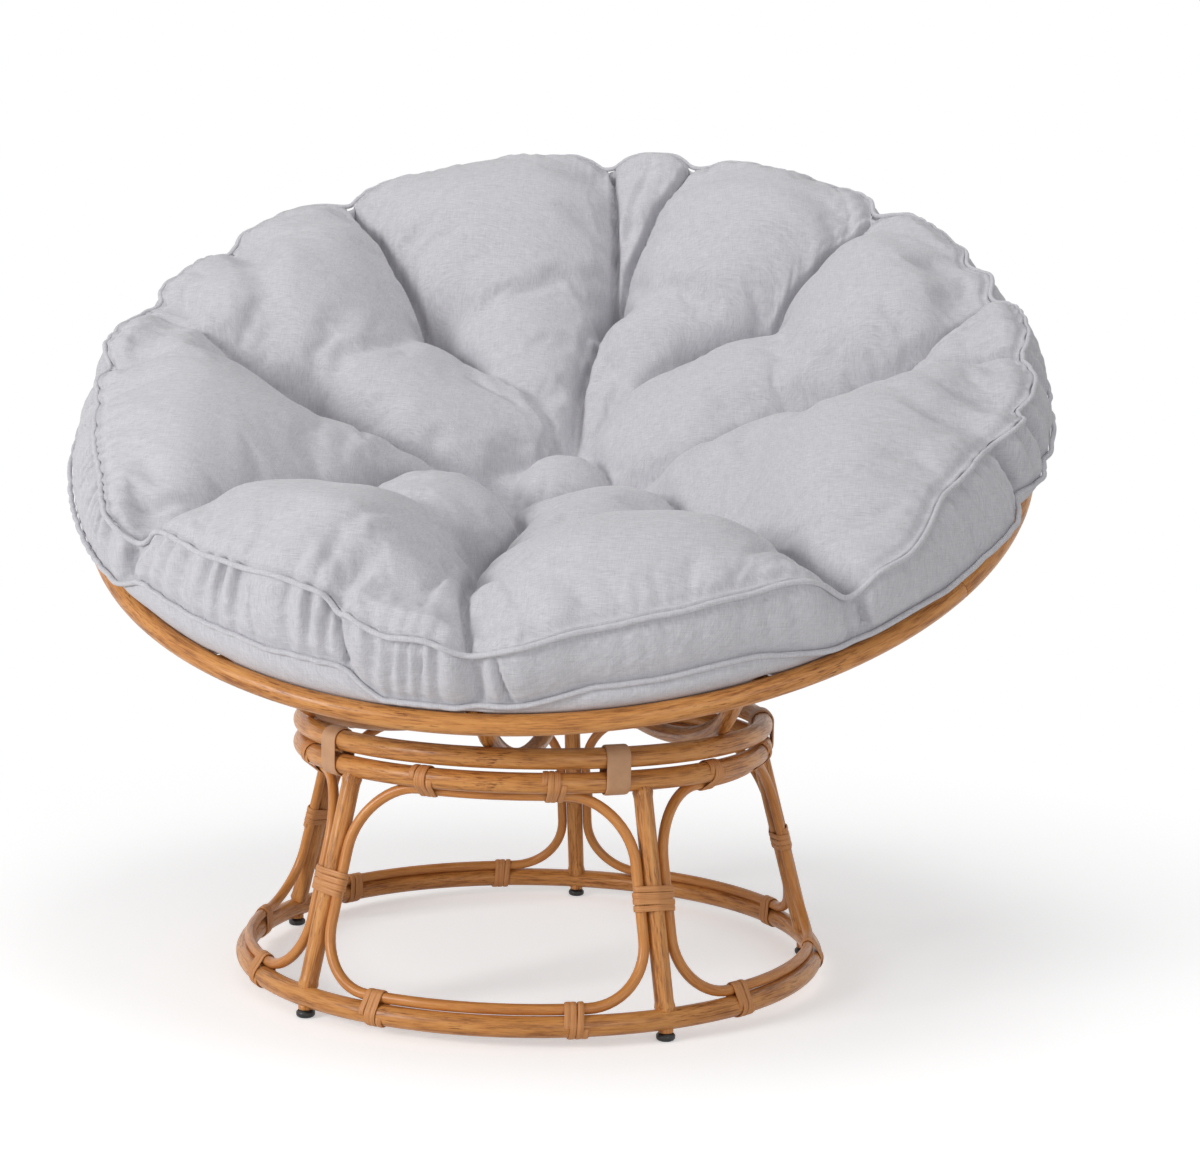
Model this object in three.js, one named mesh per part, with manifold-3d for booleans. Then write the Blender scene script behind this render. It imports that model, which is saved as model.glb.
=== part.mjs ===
// A round bowl chair: a tilted bowl of steel tube in a wood-look finish, strapped to a
// five-legged ring stand, with one loose round tufted cushion.
// Millimetres, +Z up. The chair's front faces -Y and the floor is at zero height.
import * as THREE from 'three';
import { mergeVertices } from 'three/addons/utils/BufferGeometryUtils.js';
import Module from 'manifold-3d';

const wasm = await Module();
wasm.setup();

// Stand
const base_ring_radius = 308;
const top_ring_radius = 248;
const top_ring_height = 246;
const ring_tube = 21;
const leg_tube = 19;
const loop_rod = 11;
const leg_count = 5;
const floor_clearance = 10.5;
const loop_side_gap = 0.35;
const lower_corner_height = 60;
const upper_corner_height = 65;
const loop_tuck = 9;

// Bindings of flat strip, wound round the joints
const strip_width = 5.6;
const strip_thickness = 2.2;
const strip_spacing = 0.6;
const wrap_clearance = 0.75;
const wrap_distance = 92;
const ring_wrap_turns = 3;
const leg_wrap_turns = 3.5;
const leg_wrap_share = 0.5;

// Screw-in levelling glides
const glide_diameter = 19;
const glide_height = 7.7;
const glide_stem = 8;
const glide_stem_length = 18;
const glide_bore_depth = 20;
const boss_diameter = 15;
const boss_drop = 2.5;
const stem_clearance = 0.4;

// Bowl
const rim_radius = 519;
const rim_tilt = THREE.MathUtils.degToRad(27.35);
const ball_drop = 291.7;
const rim_step = 18;
const rib_tube = 19;
const rib_flat = 10;
const hub_diameter = 100;
const hub_thickness = 6;
const spigot_length = 30;
const spigot_wall = 2;
const rim_seam_angle = THREE.MathUtils.degToRad(60);

// Straps
const strap_width = 24;
const strap_thickness = 2;
const strap_offset = 29;

// Cushion
const cushion_edge_radius = 551;
const cushion_front_pull = 36;
const top_edge_radius = 524;
const gusset_height = 66;
const back_lift = 64;
const gusset_bulge = 5;
const piping_diameter = 7.2;
const low_piping_room = 0.6;
const top_piping_room = 1;
const centre_drop = 60;
const crown_mid = 33;
const crown_swing = 13;
const crease_width = 30;
const seam_pinch = 38;
const tuft_width = 34;
const inner_crease_depth = 26;
const tuft_height = 4;
const tuft_lift = 44;
const valley_power = 0.8;
const inner_tuft_depth = 34;

// Clearances and mesh steps
const gap = 0.3;
const ring_steps = 50;
const ring_sides = 8;
const rod_sides = 6;
const wrap_sides = 8;
const rib_steps = 9;
const rib_sides = 6;

// Where the top panel is drawn in: the angle round the bowl at which each crease meets the edge,
// and the angle and distance, as a share of the edge's radius, of the sewn tuft that it runs to.
const crease_angles = [-143, -105, -46, -16, 5, 42, 80, 107, 139, 171];
const tuft_angles = [-139, -97, -48, -9, -1, 41, 93, 101, 138, 177];
const tuft_radius_shares = [0.56, 0.55, 0.53, 0.5, 0.5, 0.48, 0.64, 0.66, 0.63, 0.52];
const inner_tuft_angles = [-70, -15, 78, 165];
const inner_tuft_share = 0.17;
const column_shares = [0, 0.1, 0.28, 0.5, 0.72, 0.9];
const narrow_column_shares = [0, 0.25, 0.5, 0.75];
const narrow_petal = 30;
const whole_turn = 360;
const panel_ring_shares = [0.1, 0.24, 0.38, 0.5, 0.6, 0.7, 0.8, 0.9];

const wood = { color: 0xb07c48, roughness: 0.45, metalness: 0.0 };
const strip = { color: 0xb98052, roughness: 0.6, metalness: 0.0 };
const tan_band = { color: 0xb98a64, roughness: 0.55, metalness: 0.0 };
const black_plastic = { color: 0x1b1b1d, roughness: 0.4, metalness: 0.0 };
const grey_linen = { color: 0xc9cad0, roughness: 0.9, metalness: 0.0 };

const group = new THREE.Group();
let least_strip_gap = Infinity;
const vertical = new THREE.Vector3(0, 0, 1);
const ring_r = ring_tube / 2;
const leg_r = leg_tube / 2;
const rod_r = loop_rod / 2;
const rib_r = rib_tube / 2;
const piping_r = piping_diameter / 2;
const base_ring_height = floor_clearance + ring_r;
const wrap_wall = wrap_clearance + strip_thickness;
const strip_pitch = strip_width + strip_spacing;
const foot_ring_height = top_ring_height + ring_r + wrap_wall + gap + ring_r;
const leg_step = (Math.PI * 2) / leg_count;

function addPiece(name, geometry, look) {
  const mesh = new THREE.Mesh(geometry, new THREE.MeshStandardMaterial(look));
  mesh.name = name;
  group.add(mesh);
}

// Away from the stand's axis. Angle zero is the front, and it grows towards +X.
function outward(angle) {
  return new THREE.Vector3(Math.sin(angle), -Math.cos(angle), 0);
}

function around(angle, radius, height) {
  return outward(angle).multiplyScalar(radius).setZ(height);
}

function closedSurface(rings, joined) {
  const sides = rings[0].length;
  const points = rings.flat();
  const faces = [];
  const last = joined ? rings.length : rings.length - 1;
  for (let i = 0; i < last; i += 1) {
    const next = (i + 1) % rings.length;
    for (let j = 0; j < sides; j += 1) {
      const k = (j + 1) % sides;
      const a = i * sides + j;
      const b = i * sides + k;
      const c = next * sides + k;
      const d = next * sides + j;
      faces.push(a, b, c, a, c, d);
    }
  }
  if (!joined) {
    addCap(points, faces, 0, sides, true);
    addCap(points, faces, (rings.length - 1) * sides, sides, false);
  }
  const geometry = new THREE.BufferGeometry();
  geometry.setFromPoints(points);
  geometry.setIndex(faces);
  return facingOut(geometry);
}

function addCap(points, faces, start, sides, first) {
  const centre = new THREE.Vector3();
  for (let j = 0; j < sides; j += 1) {
    centre.add(points[start + j]);
  }
  centre.divideScalar(sides);
  const middle = points.length;
  points.push(centre);
  for (let j = 0; j < sides; j += 1) {
    const k = (j + 1) % sides;
    if (first) {
      faces.push(middle, start + k, start + j);
    } else {
      faces.push(middle, start + j, start + k);
    }
  }
}

function signedVolume(geometry) {
  const place = geometry.getAttribute('position');
  const index = geometry.getIndex();
  const [a, b, c] = [new THREE.Vector3(), new THREE.Vector3(), new THREE.Vector3()];
  let sum = 0;
  for (let i = 0; i < index.count; i += 3) {
    a.fromBufferAttribute(place, index.getX(i));
    b.fromBufferAttribute(place, index.getX(i + 1));
    c.fromBufferAttribute(place, index.getX(i + 2));
    sum += a.dot(b.cross(c));
  }
  return sum;
}

function facingOut(geometry) {
  if (signedVolume(geometry) < 0) {
    const faces = Array.from(geometry.getIndex().array);
    geometry.setIndex(faces.reverse());
  }
  geometry.computeVertexNormals();
  return geometry;
}

// A round tube through stations. Each station has its centre, its radius and a direction square
// to the path, so that the tube never twists.
function tube(stations, sides, joined) {
  const count = stations.length;
  const rings = stations.map((station, i) => {
    const before = stations[joined ? (i + count - 1) % count : Math.max(i - 1, 0)].centre;
    const after = stations[joined ? (i + 1) % count : Math.min(i + 1, count - 1)].centre;
    const along = station.along ?? after.clone().sub(before).normalize();
    const across = new THREE.Vector3().crossVectors(along, station.normal).normalize();
    const up = new THREE.Vector3().crossVectors(across, along);
    return Array.from({ length: sides }, (unused, j) => {
      const turn = (j / sides) * Math.PI * 2;
      return station.centre
        .clone()
        .addScaledVector(across, Math.cos(turn) * station.radius)
        .addScaledVector(up, Math.sin(turn) * station.radius);
    });
  });
  return closedSurface(rings, joined);
}

function circleStations(place, normal, radius) {
  return Array.from({ length: ring_steps }, (unused, i) => {
    const centre = place((i / ring_steps) * Math.PI * 2);
    return { centre, normal, radius };
  });
}

function ringTube(ringRadius, height, radius) {
  const place = (angle) => around(angle, ringRadius, height);
  return tube(circleStations(place, vertical, radius), ring_sides, true);
}

function toSolid(geometry) {
  const bare = geometry.clone();
  bare.deleteAttribute('normal');
  bare.deleteAttribute('uv');
  const merged = mergeVertices(bare);
  const vertProperties = new Float32Array(merged.getAttribute('position').array);
  const triVerts = new Uint32Array(merged.getIndex().array);
  return new wasm.Manifold(new wasm.Mesh({ numProp: 3, vertProperties, triVerts }));
}

function fromSolid(solid) {
  const mesh = solid.getMesh();
  const geometry = new THREE.BufferGeometry();
  geometry.setAttribute('position', new THREE.BufferAttribute(mesh.vertProperties, 3));
  geometry.setIndex(new THREE.BufferAttribute(mesh.triVerts, 1));
  geometry.computeVertexNormals();
  return geometry;
}

// The outline of a strip pulled tight round several rods: straight sides that each touch them.
function tightOutline(rods, offset, sides) {
  const lines = Array.from({ length: sides }, (unused, i) => {
    const turn = (i / sides) * Math.PI * 2;
    const facing = new THREE.Vector2(Math.cos(turn), Math.sin(turn));
    const reach = Math.max(...rods.map((rod) => rod.centre.dot(facing) + rod.radius + offset));
    return { facing, reach };
  });
  return lines.map((line, i) => {
    const next = lines[(i + 1) % sides];
    const cross = line.facing.cross(next.facing);
    const x = (line.reach * next.facing.y - next.reach * line.facing.y) / cross;
    const y = (next.reach * line.facing.x - line.reach * next.facing.x) / cross;
    return new THREE.Vector2(x, y);
  });
}

// A strip wound round several rods, from one end of the binding to the other.
function winding(rods, turns, place) {
  const inner = tightOutline(rods, wrap_clearance, wrap_sides);
  const outer = tightOutline(rods, wrap_wall, wrap_sides);
  const steps = turns * wrap_sides;
  const sections = [];
  for (let i = 0; i <= steps; i += 1) {
    const middle = (i / wrap_sides - turns / 2) * strip_pitch;
    const [near, far] = [middle - strip_width / 2, middle + strip_width / 2];
    const corner = i % wrap_sides;
    const edges = [[inner, near], [inner, far], [outer, far], [outer, near]];
    sections.push(edges.map(([outline, along]) => place(outline[corner], along)));
  }
  least_strip_gap = Math.min(least_strip_gap, gapToItself(sections));
  return closedSurface(sections, false);
}

// The least distance between points of the strip that lie more than half a turn apart.
function gapToItself(sections) {
  let least = Infinity;
  sections.forEach((section, i) => {
    for (const other of sections.slice(i + wrap_sides / 2 + 1)) {
      for (const point of section) {
        least = Math.min(least, ...other.map((far) => far.distanceTo(point)));
      }
    }
  });
  return least;
}

// A closed flat band round two rods, with a step in the middle of its width.
function band(rods, sides, place) {
  const inner = tightOutline(rods, wrap_clearance, sides);
  const outer = tightOutline(rods, wrap_clearance + strap_thickness, sides);
  const edge = strap_width / 2;
  const rings = [-edge, 0, edge].map((along) => outer.map((point) => place(point, along)));
  rings.push(...[edge, 0, -edge].map((along) => inner.map((point) => place(point, along))));
  return closedSurface(rings, true);
}

// Places along a ring lie in planes through the stand's axis.
function alongRing(angle, radius) {
  return (point, along) => around(angle + along / radius, point.x, point.y);
}

function legAngle(index) {
  return leg_step / 2 + index * leg_step;
}

function legRadiusAt(height) {
  const share = (height - base_ring_height) / (top_ring_height - base_ring_height);
  return base_ring_radius + (top_ring_radius - base_ring_radius) * share;
}

const leg_run = top_ring_height - base_ring_height;
const leg_lean = Math.atan((base_ring_radius - top_ring_radius) / leg_run);
const rod_reach = ring_r + rod_r + loop_side_gap;
const loop_low = base_ring_height + rod_reach * Math.cos(leg_lean);
const loop_tuck_angle = Math.asin(loop_tuck / rod_reach);
const loop_high = top_ring_height - rod_reach * Math.cos(loop_tuck_angle);
const beside_leg = leg_r + rod_r + loop_side_gap;
const corner_reach = wrap_distance - (strip_width + ring_wrap_turns * strip_pitch) / 2;

// Stand rings. The lower one carries a boss and a bore for each glide.
function baseRing() {
  let solid = toSolid(ringTube(base_ring_radius, base_ring_height, ring_r));
  for (let i = 0; i < leg_count; i += 1) {
    const boss = new THREE.CylinderGeometry(boss_diameter / 2, boss_diameter / 2, ring_r + boss_drop, 10);
    const boss_middle = base_ring_height - (ring_r + boss_drop) / 2;
    standUp(boss, around(legAngle(i), base_ring_radius, boss_middle));
    solid = solid.add(toSolid(boss));
    const bore_r = glide_stem / 2 + stem_clearance;
    const bore = new THREE.CylinderGeometry(bore_r, bore_r, glide_bore_depth * 2, 8);
    const mouth = base_ring_height - ring_r - boss_drop;
    standUp(bore, around(legAngle(i), base_ring_radius, mouth));
    solid = solid.subtract(toSolid(bore));
  }
  return fromSolid(solid);
}

function standUp(geometry, centre) {
  geometry.rotateX(Math.PI / 2);
  geometry.translate(centre.x, centre.y, centre.z);
}

function addStandRings() {
  addPiece('stand_bottom_ring', baseRing(), wood);
  addPiece('stand_top_ring', ringTube(top_ring_radius, top_ring_height, ring_r), wood);
}

// Legs run from ring to ring and are coped to both.
function addLegs() {
  const low_ring = toSolid(ringTube(base_ring_radius, base_ring_height, ring_r + gap));
  const high_ring = toSolid(ringTube(top_ring_radius, top_ring_height, ring_r + gap));
  for (let i = 0; i < leg_count; i += 1) {
    const angle = legAngle(i);
    const foot = around(angle, base_ring_radius, base_ring_height);
    const head = around(angle, top_ring_radius, top_ring_height);
    const normal = outward(angle);
    const along = head.clone().sub(foot).normalize();
    const ends = [foot, head].map((centre) => ({ centre, normal, along, radius: leg_r }));
    const leg = toSolid(tube(ends, 10, false)).subtract(low_ring).subtract(high_ring);
    addPiece(`leg_${i + 1}`, fromSolid(leg), wood);
  }
}

// One side of a rod loop, from the middle of its bottom run to the middle of its top run, as
// pairs of distance from the leg's line and height, with the share of the tuck under the top ring.
function loopSide() {
  const path = [];
  const corner = corner_reach - beside_leg;
  const arc_steps = 4;
  for (let i = 0; i <= arc_steps; i += 1) {
    const turn = (i / arc_steps) * (Math.PI / 2);
    const away = corner_reach - corner * Math.sin(turn);
    path.push({ away, height: loop_low + lower_corner_height * (1 - Math.cos(turn)), tuck: 0 });
  }
  for (let i = 0; i <= arc_steps; i += 1) {
    const turn = (1 - i / arc_steps) * (Math.PI / 2);
    const away = corner_reach - corner * Math.sin(turn);
    const rise = 1 - Math.cos(turn);
    path.push({ away, height: loop_high - upper_corner_height * rise, tuck: 1 - rise });
  }
  return path;
}

function loopPoint(bay, side, step) {
  const line = legRadiusAt(step.height);
  const tucked = top_ring_radius - loop_tuck;
  const radius = line + (tucked - legRadiusAt(loop_high)) * step.tuck * step.tuck;
  const angle = bay + side * (leg_step / 2 - step.away / line);
  return around(angle, radius, step.height);
}

function loopStations(bay) {
  const side_path = loopSide();
  const points = [];
  const run_steps = 6;
  const low_turn = leg_step / 2 - corner_reach / legRadiusAt(loop_low);
  const high_turn = leg_step / 2 - corner_reach / legRadiusAt(loop_high);
  for (let i = 1; i < run_steps; i += 1) {
    const angle = bay + low_turn * ((2 * i) / run_steps - 1);
    points.push(around(angle, legRadiusAt(loop_low), loop_low));
  }
  points.push(...side_path.map((step) => loopPoint(bay, 1, step)));
  for (let i = 1; i < run_steps; i += 1) {
    const angle = bay - high_turn * ((2 * i) / run_steps - 1);
    points.push(around(angle, top_ring_radius - loop_tuck, loop_high));
  }
  points.push(...side_path.reverse().map((step) => loopPoint(bay, -1, step)));
  return points.map((centre) => {
    const normal = new THREE.Vector3(centre.x, centre.y, 0).normalize();
    normal.multiplyScalar(Math.cos(leg_lean));
    normal.z = Math.sin(leg_lean);
    return { centre, normal, radius: rod_r };
  });
}

function addLoops() {
  for (let i = 0; i < leg_count; i += 1) {
    addPiece(`loop_${i + 1}`, tube(loopStations(i * leg_step), rod_sides, true), strip);
  }
}

// Bindings round a ring and the loop rod that runs along it.
function addRingWraps() {
  const low_radius = legRadiusAt(loop_low);
  const high_radius = legRadiusAt(loop_high);
  const low_rods = [
    { centre: new THREE.Vector2(base_ring_radius, base_ring_height), radius: ring_r },
    { centre: new THREE.Vector2(low_radius, loop_low), radius: rod_r },
  ];
  const high_rods = [
    { centre: new THREE.Vector2(top_ring_radius, top_ring_height), radius: ring_r },
    { centre: new THREE.Vector2(top_ring_radius - loop_tuck, loop_high), radius: rod_r },
  ];
  for (let i = 0; i < leg_count; i += 1) {
    for (const [letter, side] of [['a', -1], ['b', 1]]) {
      const low_angle = i * leg_step + side * (leg_step / 2 - wrap_distance / low_radius);
      const high_angle = i * leg_step + side * (leg_step / 2 - wrap_distance / high_radius);
      const low = winding(low_rods, ring_wrap_turns, alongRing(low_angle, low_radius));
      const high = winding(high_rods, ring_wrap_turns, alongRing(high_angle, high_radius));
      addPiece(`bottom_wrap_${i + 1}${letter}`, low, strip);
      addPiece(`top_wrap_${i + 1}${letter}`, high, strip);
    }
  }
}

// Bindings round a leg and the two rods beside it.
function addLegWraps() {
  const rods = [
    { centre: new THREE.Vector2(0, 0), radius: leg_r },
    { centre: new THREE.Vector2(beside_leg, 0), radius: rod_r },
    { centre: new THREE.Vector2(-beside_leg, 0), radius: rod_r },
  ];
  for (let i = 0; i < leg_count; i += 1) {
    const angle = legAngle(i);
    const foot = around(angle, base_ring_radius, base_ring_height);
    const head = around(angle, top_ring_radius, top_ring_height);
    const middle = foot.clone().lerp(head, leg_wrap_share);
    const along = head.clone().sub(foot).normalize();
    const side = outward(angle + Math.PI / 2);
    const out = new THREE.Vector3().crossVectors(side, along);
    const place = (point, step) =>
      middle
        .clone()
        .addScaledVector(side, point.x)
        .addScaledVector(out, point.y)
        .addScaledVector(along, step);
    addPiece(`leg_wrap_${i + 1}`, winding(rods, leg_wrap_turns, place), strip);
  }
}

// Glides: a domed plastic foot on a stem that screws into the ring's bore.
function addGlides() {
  const r = glide_diameter / 2;
  const rounded_shares = [[0.65, 0], [0.96, 0.25], [1, 0.7], [0.8, 1]];
  const outline = [new THREE.Vector2(0, 0)];
  for (const [wide, high] of rounded_shares) {
    outline.push(new THREE.Vector2(r * wide, glide_height * high));
  }
  outline.push(new THREE.Vector2(glide_stem / 2, glide_height));
  outline.push(new THREE.Vector2(glide_stem / 2, glide_height + glide_stem_length));
  outline.push(new THREE.Vector2(0, glide_height + glide_stem_length));
  for (let i = 0; i < leg_count; i += 1) {
    const foot = new THREE.LatheGeometry(outline, 10);
    standUp(foot, around(legAngle(i), base_ring_radius, 0));
    addPiece(`glide_${i + 1}`, foot, black_plastic);
  }
}

// The ribs lie on a ball whose centre is over the middle of the stand, on the bowl's tilted axis.
// The ball rests in the foot ring, and the rim lies a step outside it.
const bowl_across = new THREE.Vector3(1, 0, 0);
const bowl_back = new THREE.Vector3(0, Math.cos(rim_tilt), Math.sin(rim_tilt));
const bowl_up = new THREE.Vector3(0, -Math.sin(rim_tilt), Math.cos(rim_tilt));
const rim_turn = Math.atan2(rim_radius, ball_drop);
const rim_reach = Math.hypot(rim_radius, ball_drop);
const rib_ball = rim_reach - rim_step;
const ring_flat_share = Math.cos(Math.PI / ring_sides);
const foot_ring_reach = rib_ball + rib_r + gap + ring_r * ring_flat_share;
const ball_height = foot_ring_height + Math.sqrt(foot_ring_reach ** 2 - top_ring_radius ** 2);
const ball_centre = new THREE.Vector3(0, 0, ball_height);
const rim_centre = ball_centre.clone().addScaledVector(bowl_up, -ball_drop);
const hub_turn = Math.asin((hub_diameter / 2 + gap) / rib_ball);
const level_turn = Math.acos(ball_drop / (rib_ball - rib_r));
const rim_sag = rim_radius * (1 - Math.cos(Math.PI / ring_steps));
const rib_flare_share = 0.86;
const flat_turn = THREE.MathUtils.degToRad(15);

// The bowl's own space: a point at a distance from the bowl's axis, an angle round it with zero
// at the front, and a height over the rim's plane.
function inBowl(distance, angle, height) {
  return rim_centre
    .clone()
    .addScaledVector(bowl_across, distance * Math.sin(angle))
    .addScaledVector(bowl_back, -distance * Math.cos(angle))
    .addScaledVector(bowl_up, height);
}

// The turn, seen from the ball's centre, at which a rib leaves the foot ring on its way out.
function crossingTurn(angle) {
  const level = Math.cos(rim_tilt);
  const slope = Math.cos(angle) * Math.sin(rim_tilt);
  const drop_share = (ball_centre.z - foot_ring_height) / foot_ring_reach / Math.hypot(level, slope);
  return Math.max(Math.atan2(slope, level) + Math.acos(Math.min(drop_share, 1)), 0);
}

// How far a rib's centre line lies from the ball's centre: flattened between the foot ring and the
// rim, so that the bowl's sides are slim.
function ribBodyReach(turn, start) {
  const span = rim_turn - start;
  const share = THREE.MathUtils.clamp((turn - start) / span, 0, 1);
  return rib_ball - rib_flat * Math.min(1, span / flat_turn) * Math.sin(Math.PI * share) ** 2;
}

function ribReach(turn, start) {
  const flare = THREE.MathUtils.smoothstep((turn - start) / (rim_turn - start), rib_flare_share, 1);
  return ribBodyReach(turn, start) + (rim_reach - rib_ball) * flare;
}

function ribTurn(step) {
  return hub_turn + (rim_turn - hub_turn) * (step / rib_steps);
}

function ribStation(angle, turn) {
  const normal = bowl_across.clone().multiplyScalar(Math.cos(angle)).addScaledVector(bowl_back, Math.sin(angle));
  const reach = ribReach(turn, crossingTurn(angle));
  const centre = inBowl(reach * Math.sin(turn), angle, ball_drop - reach * Math.cos(turn));
  return { centre, normal, radius: rib_r };
}

function ribStations(angle) {
  return Array.from({ length: rib_steps + 1 }, (unused, i) => ribStation(angle, ribTurn(i)));
}

function hubPlate() {
  const plate = new THREE.CylinderGeometry(hub_diameter / 2, hub_diameter / 2, hub_thickness, 32);
  plate.rotateX(Math.PI / 2 + rim_tilt);
  const pole = ball_centre.clone().addScaledVector(bowl_up, -rib_ball);
  plate.translate(pole.x, pole.y, pole.z);
  return toSolid(plate);
}

function addRibs() {
  const place = (angle) => inBowl(rim_radius, rim_seam_angle + angle, 0);
  const rim_room = toSolid(tube(circleStations(place, bowl_up, ring_r + gap), ring_sides, true));
  const front = [ribStation(0, 0), ...ribStations(0)];
  const back = ribStations(Math.PI);
  back.forEach((station) => station.normal.negate());
  const spine = toSolid(tube([...back.reverse(), ...front], rib_sides, false));
  addPiece('spine_rib', fromSolid(spine.add(hubPlate()).subtract(rim_room)), wood);
  const names = ['front_right', 'right', 'back_right', 'back_left', 'left', 'front_left'];
  const angles = [32, 90, 148, 212, 270, 328];
  angles.forEach((degrees, i) => {
    const angle = THREE.MathUtils.degToRad(degrees);
    const rib = toSolid(tube(ribStations(angle), rib_sides, false));
    addPiece(`rib_${names[i]}`, fromSolid(rib.subtract(rim_room)), wood);
  });
}

// The rim comes in two halves. The ends of the front half are sockets, and the ends of the back
// half are spigots that slide into them.
function rimStations(from, count, end_radius, reversed_end) {
  const step = (Math.PI * 2) / ring_steps;
  const end_turn = spigot_length / rim_radius;
  const body = Array.from({ length: count + 1 }, (unused, i) => rimStation(from + i * step, ring_r));
  const sign = reversed_end ? 1 : -1;
  const last = from + count * step;
  const head = [rimStation(from + sign * end_turn, end_radius), rimStation(from, end_radius)];
  const tail = [rimStation(last, end_radius), rimStation(last - sign * end_turn, end_radius)];
  return [...head, ...body, ...tail];
}

function rimStation(angle, radius) {
  const along = bowl_across
    .clone()
    .multiplyScalar(Math.cos(angle))
    .addScaledVector(bowl_back, Math.sin(angle));
  return { centre: inBowl(rim_radius, angle, 0), normal: bowl_up, along, radius };
}

function addRim() {
  const half = ring_steps / 2;
  const half_turn = Math.PI;
  const bore_r = ring_r - spigot_wall;
  const front = rimStations(rim_seam_angle - half_turn, half, bore_r, true);
  const back = rimStations(rim_seam_angle, half, bore_r - gap, false);
  const shift = gap / rim_radius;
  shortenHalf(back, shift);
  addPiece('rim_front_half', tube(front, ring_sides, false), wood);
  addPiece('rim_back_half', tube(back, ring_sides, false), wood);
}

// The shoulders of the back half stop just short of the sockets.
function shortenHalf(stations, shift) {
  const count = stations.length;
  for (const i of [0, 1, 2]) {
    stations[i].centre.sub(rim_centre).applyAxisAngle(bowl_up, shift).add(rim_centre);
    stations[count - 1 - i].centre.sub(rim_centre).applyAxisAngle(bowl_up, -shift).add(rim_centre);
  }
}

function addFootRing() {
  addPiece('bowl_foot_ring', ringTube(top_ring_radius, foot_ring_height, ring_r), wood);
}

function addStraps() {
  const rods = [
    { centre: new THREE.Vector2(top_ring_radius, top_ring_height), radius: ring_r },
    { centre: new THREE.Vector2(top_ring_radius, foot_ring_height), radius: ring_r },
  ];
  for (let i = 0; i < leg_count; i += 1) {
    const angle = legAngle(i) - strap_offset / top_ring_radius;
    addPiece(`strap_${i + 1}`, band(rods, 8, alongRing(angle, top_ring_radius)), tan_band);
  }
}

// Cushion. The lower seam rests on the rim at the front and is carried higher at the back.
const seat_height = ring_r + gap + piping_r + gap;

function lowSeamHeight(angle) {
  return seat_height + (back_lift * (1 - Math.cos(angle))) / 2;
}

function lowSeamRadius(angle) {
  return cushion_edge_radius - cushion_front_pull * ((1 + Math.cos(angle)) / 2) ** 3;
}

function topSeamHeight(angle) {
  return lowSeamHeight(angle) + gusset_height;
}

function turnBetween(a, b) {
  return Math.atan2(Math.sin(a - b), Math.cos(a - b));
}

function creaseAngle(index) {
  return THREE.MathUtils.degToRad(crease_angles[index]);
}

function pinchAt(angle) {
  return Math.max(
    ...crease_angles.map((unused, i) => {
      const apart = Math.abs(turnBetween(angle, creaseAngle(i))) * top_edge_radius;
      return Math.exp(-((apart / crease_width) ** 2));
    }),
  );
}

function topSeamRadius(angle) {
  return top_edge_radius - seam_pinch * pinchAt(angle);
}

function flat(angle, radius) {
  return new THREE.Vector2(Math.sin(angle) * radius, -Math.cos(angle) * radius);
}

function innerTuftPlace(index) {
  const angle = THREE.MathUtils.degToRad(inner_tuft_angles[index]);
  return flat(angle, inner_tuft_share * top_edge_radius);
}

function tuftHeight(angle) {
  return tuft_height + (tuft_lift * (1 - Math.cos(angle))) / 2;
}

// A crease's angle at a share of the edge's radius: it swings from the edge to its tuft.
function creaseAngleAt(index, share) {
  const tuft = tuft_angles[index];
  const tuft_share = tuft_radius_shares[index];
  const swing = clampShare((share - tuft_share) / (1 - tuft_share));
  return THREE.MathUtils.degToRad(tuft + turnDegrees(crease_angles[index], tuft) * swing);
}

function turnDegrees(a, b) {
  return THREE.MathUtils.radToDeg(turnBetween(THREE.MathUtils.degToRad(a), THREE.MathUtils.degToRad(b)));
}

// Height of the full petals over the rim's plane, with their crown near the edge.
function fullHeight(angle, share) {
  const edge = topSeamHeight(angle);
  const rise = THREE.MathUtils.smoothstep(share, 0.1, 0.92);
  const swell = Math.sin(Math.PI * clampShare((share - 0.4) / 0.6));
  return -centre_drop + (edge + centre_drop) * rise + (crown_mid + crown_swing * Math.cos(angle)) * swell;
}

// How deep a crease lies under the petals beside it.
function creaseDepth(index, share) {
  const angle = creaseAngleAt(index, share);
  const tuft_share = tuft_radius_shares[index];
  const full = fullHeight(angle, share);
  if (share >= tuft_share) {
    const out = (share - tuft_share) / (1 - tuft_share);
    const valley = tuftHeight(angle) + (topSeamHeight(angle) - tuftHeight(angle)) * out ** valley_power;
    return Math.max(full - valley, 0);
  }
  const at_tuft = Math.max(fullHeight(angle, tuft_share) - tuftHeight(angle), inner_crease_depth);
  return at_tuft * THREE.MathUtils.smoothstep(share, 0, tuft_share);
}

function panelHeight(column, share) {
  const angle = columnAngle(column, share);
  const next = (column.crease + 1) % crease_angles.length;
  const radius = topSeamRadius(columnAngle(column, 1)) * share;
  let open = 1;
  for (const index of [column.crease, next]) {
    const away = Math.abs(turnBetween(angle, creaseAngleAt(index, share))) * radius;
    open *= 1 - Math.exp(-((away / crease_width) ** 2));
  }
  const first = creaseDepth(column.crease, share);
  const depth = first + (creaseDepth(next, share) - first) * column.share;
  let height = fullHeight(angle, share) - depth * (1 - open);
  const point = flat(angle, radius);
  inner_tuft_angles.forEach((unused, i) => {
    const near = Math.exp(-((point.distanceTo(innerTuftPlace(i)) / tuft_width) ** 2));
    height -= inner_tuft_depth * near;
  });
  return height;
}

function clampShare(value) {
  return THREE.MathUtils.clamp(value, 0, 1);
}

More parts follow.
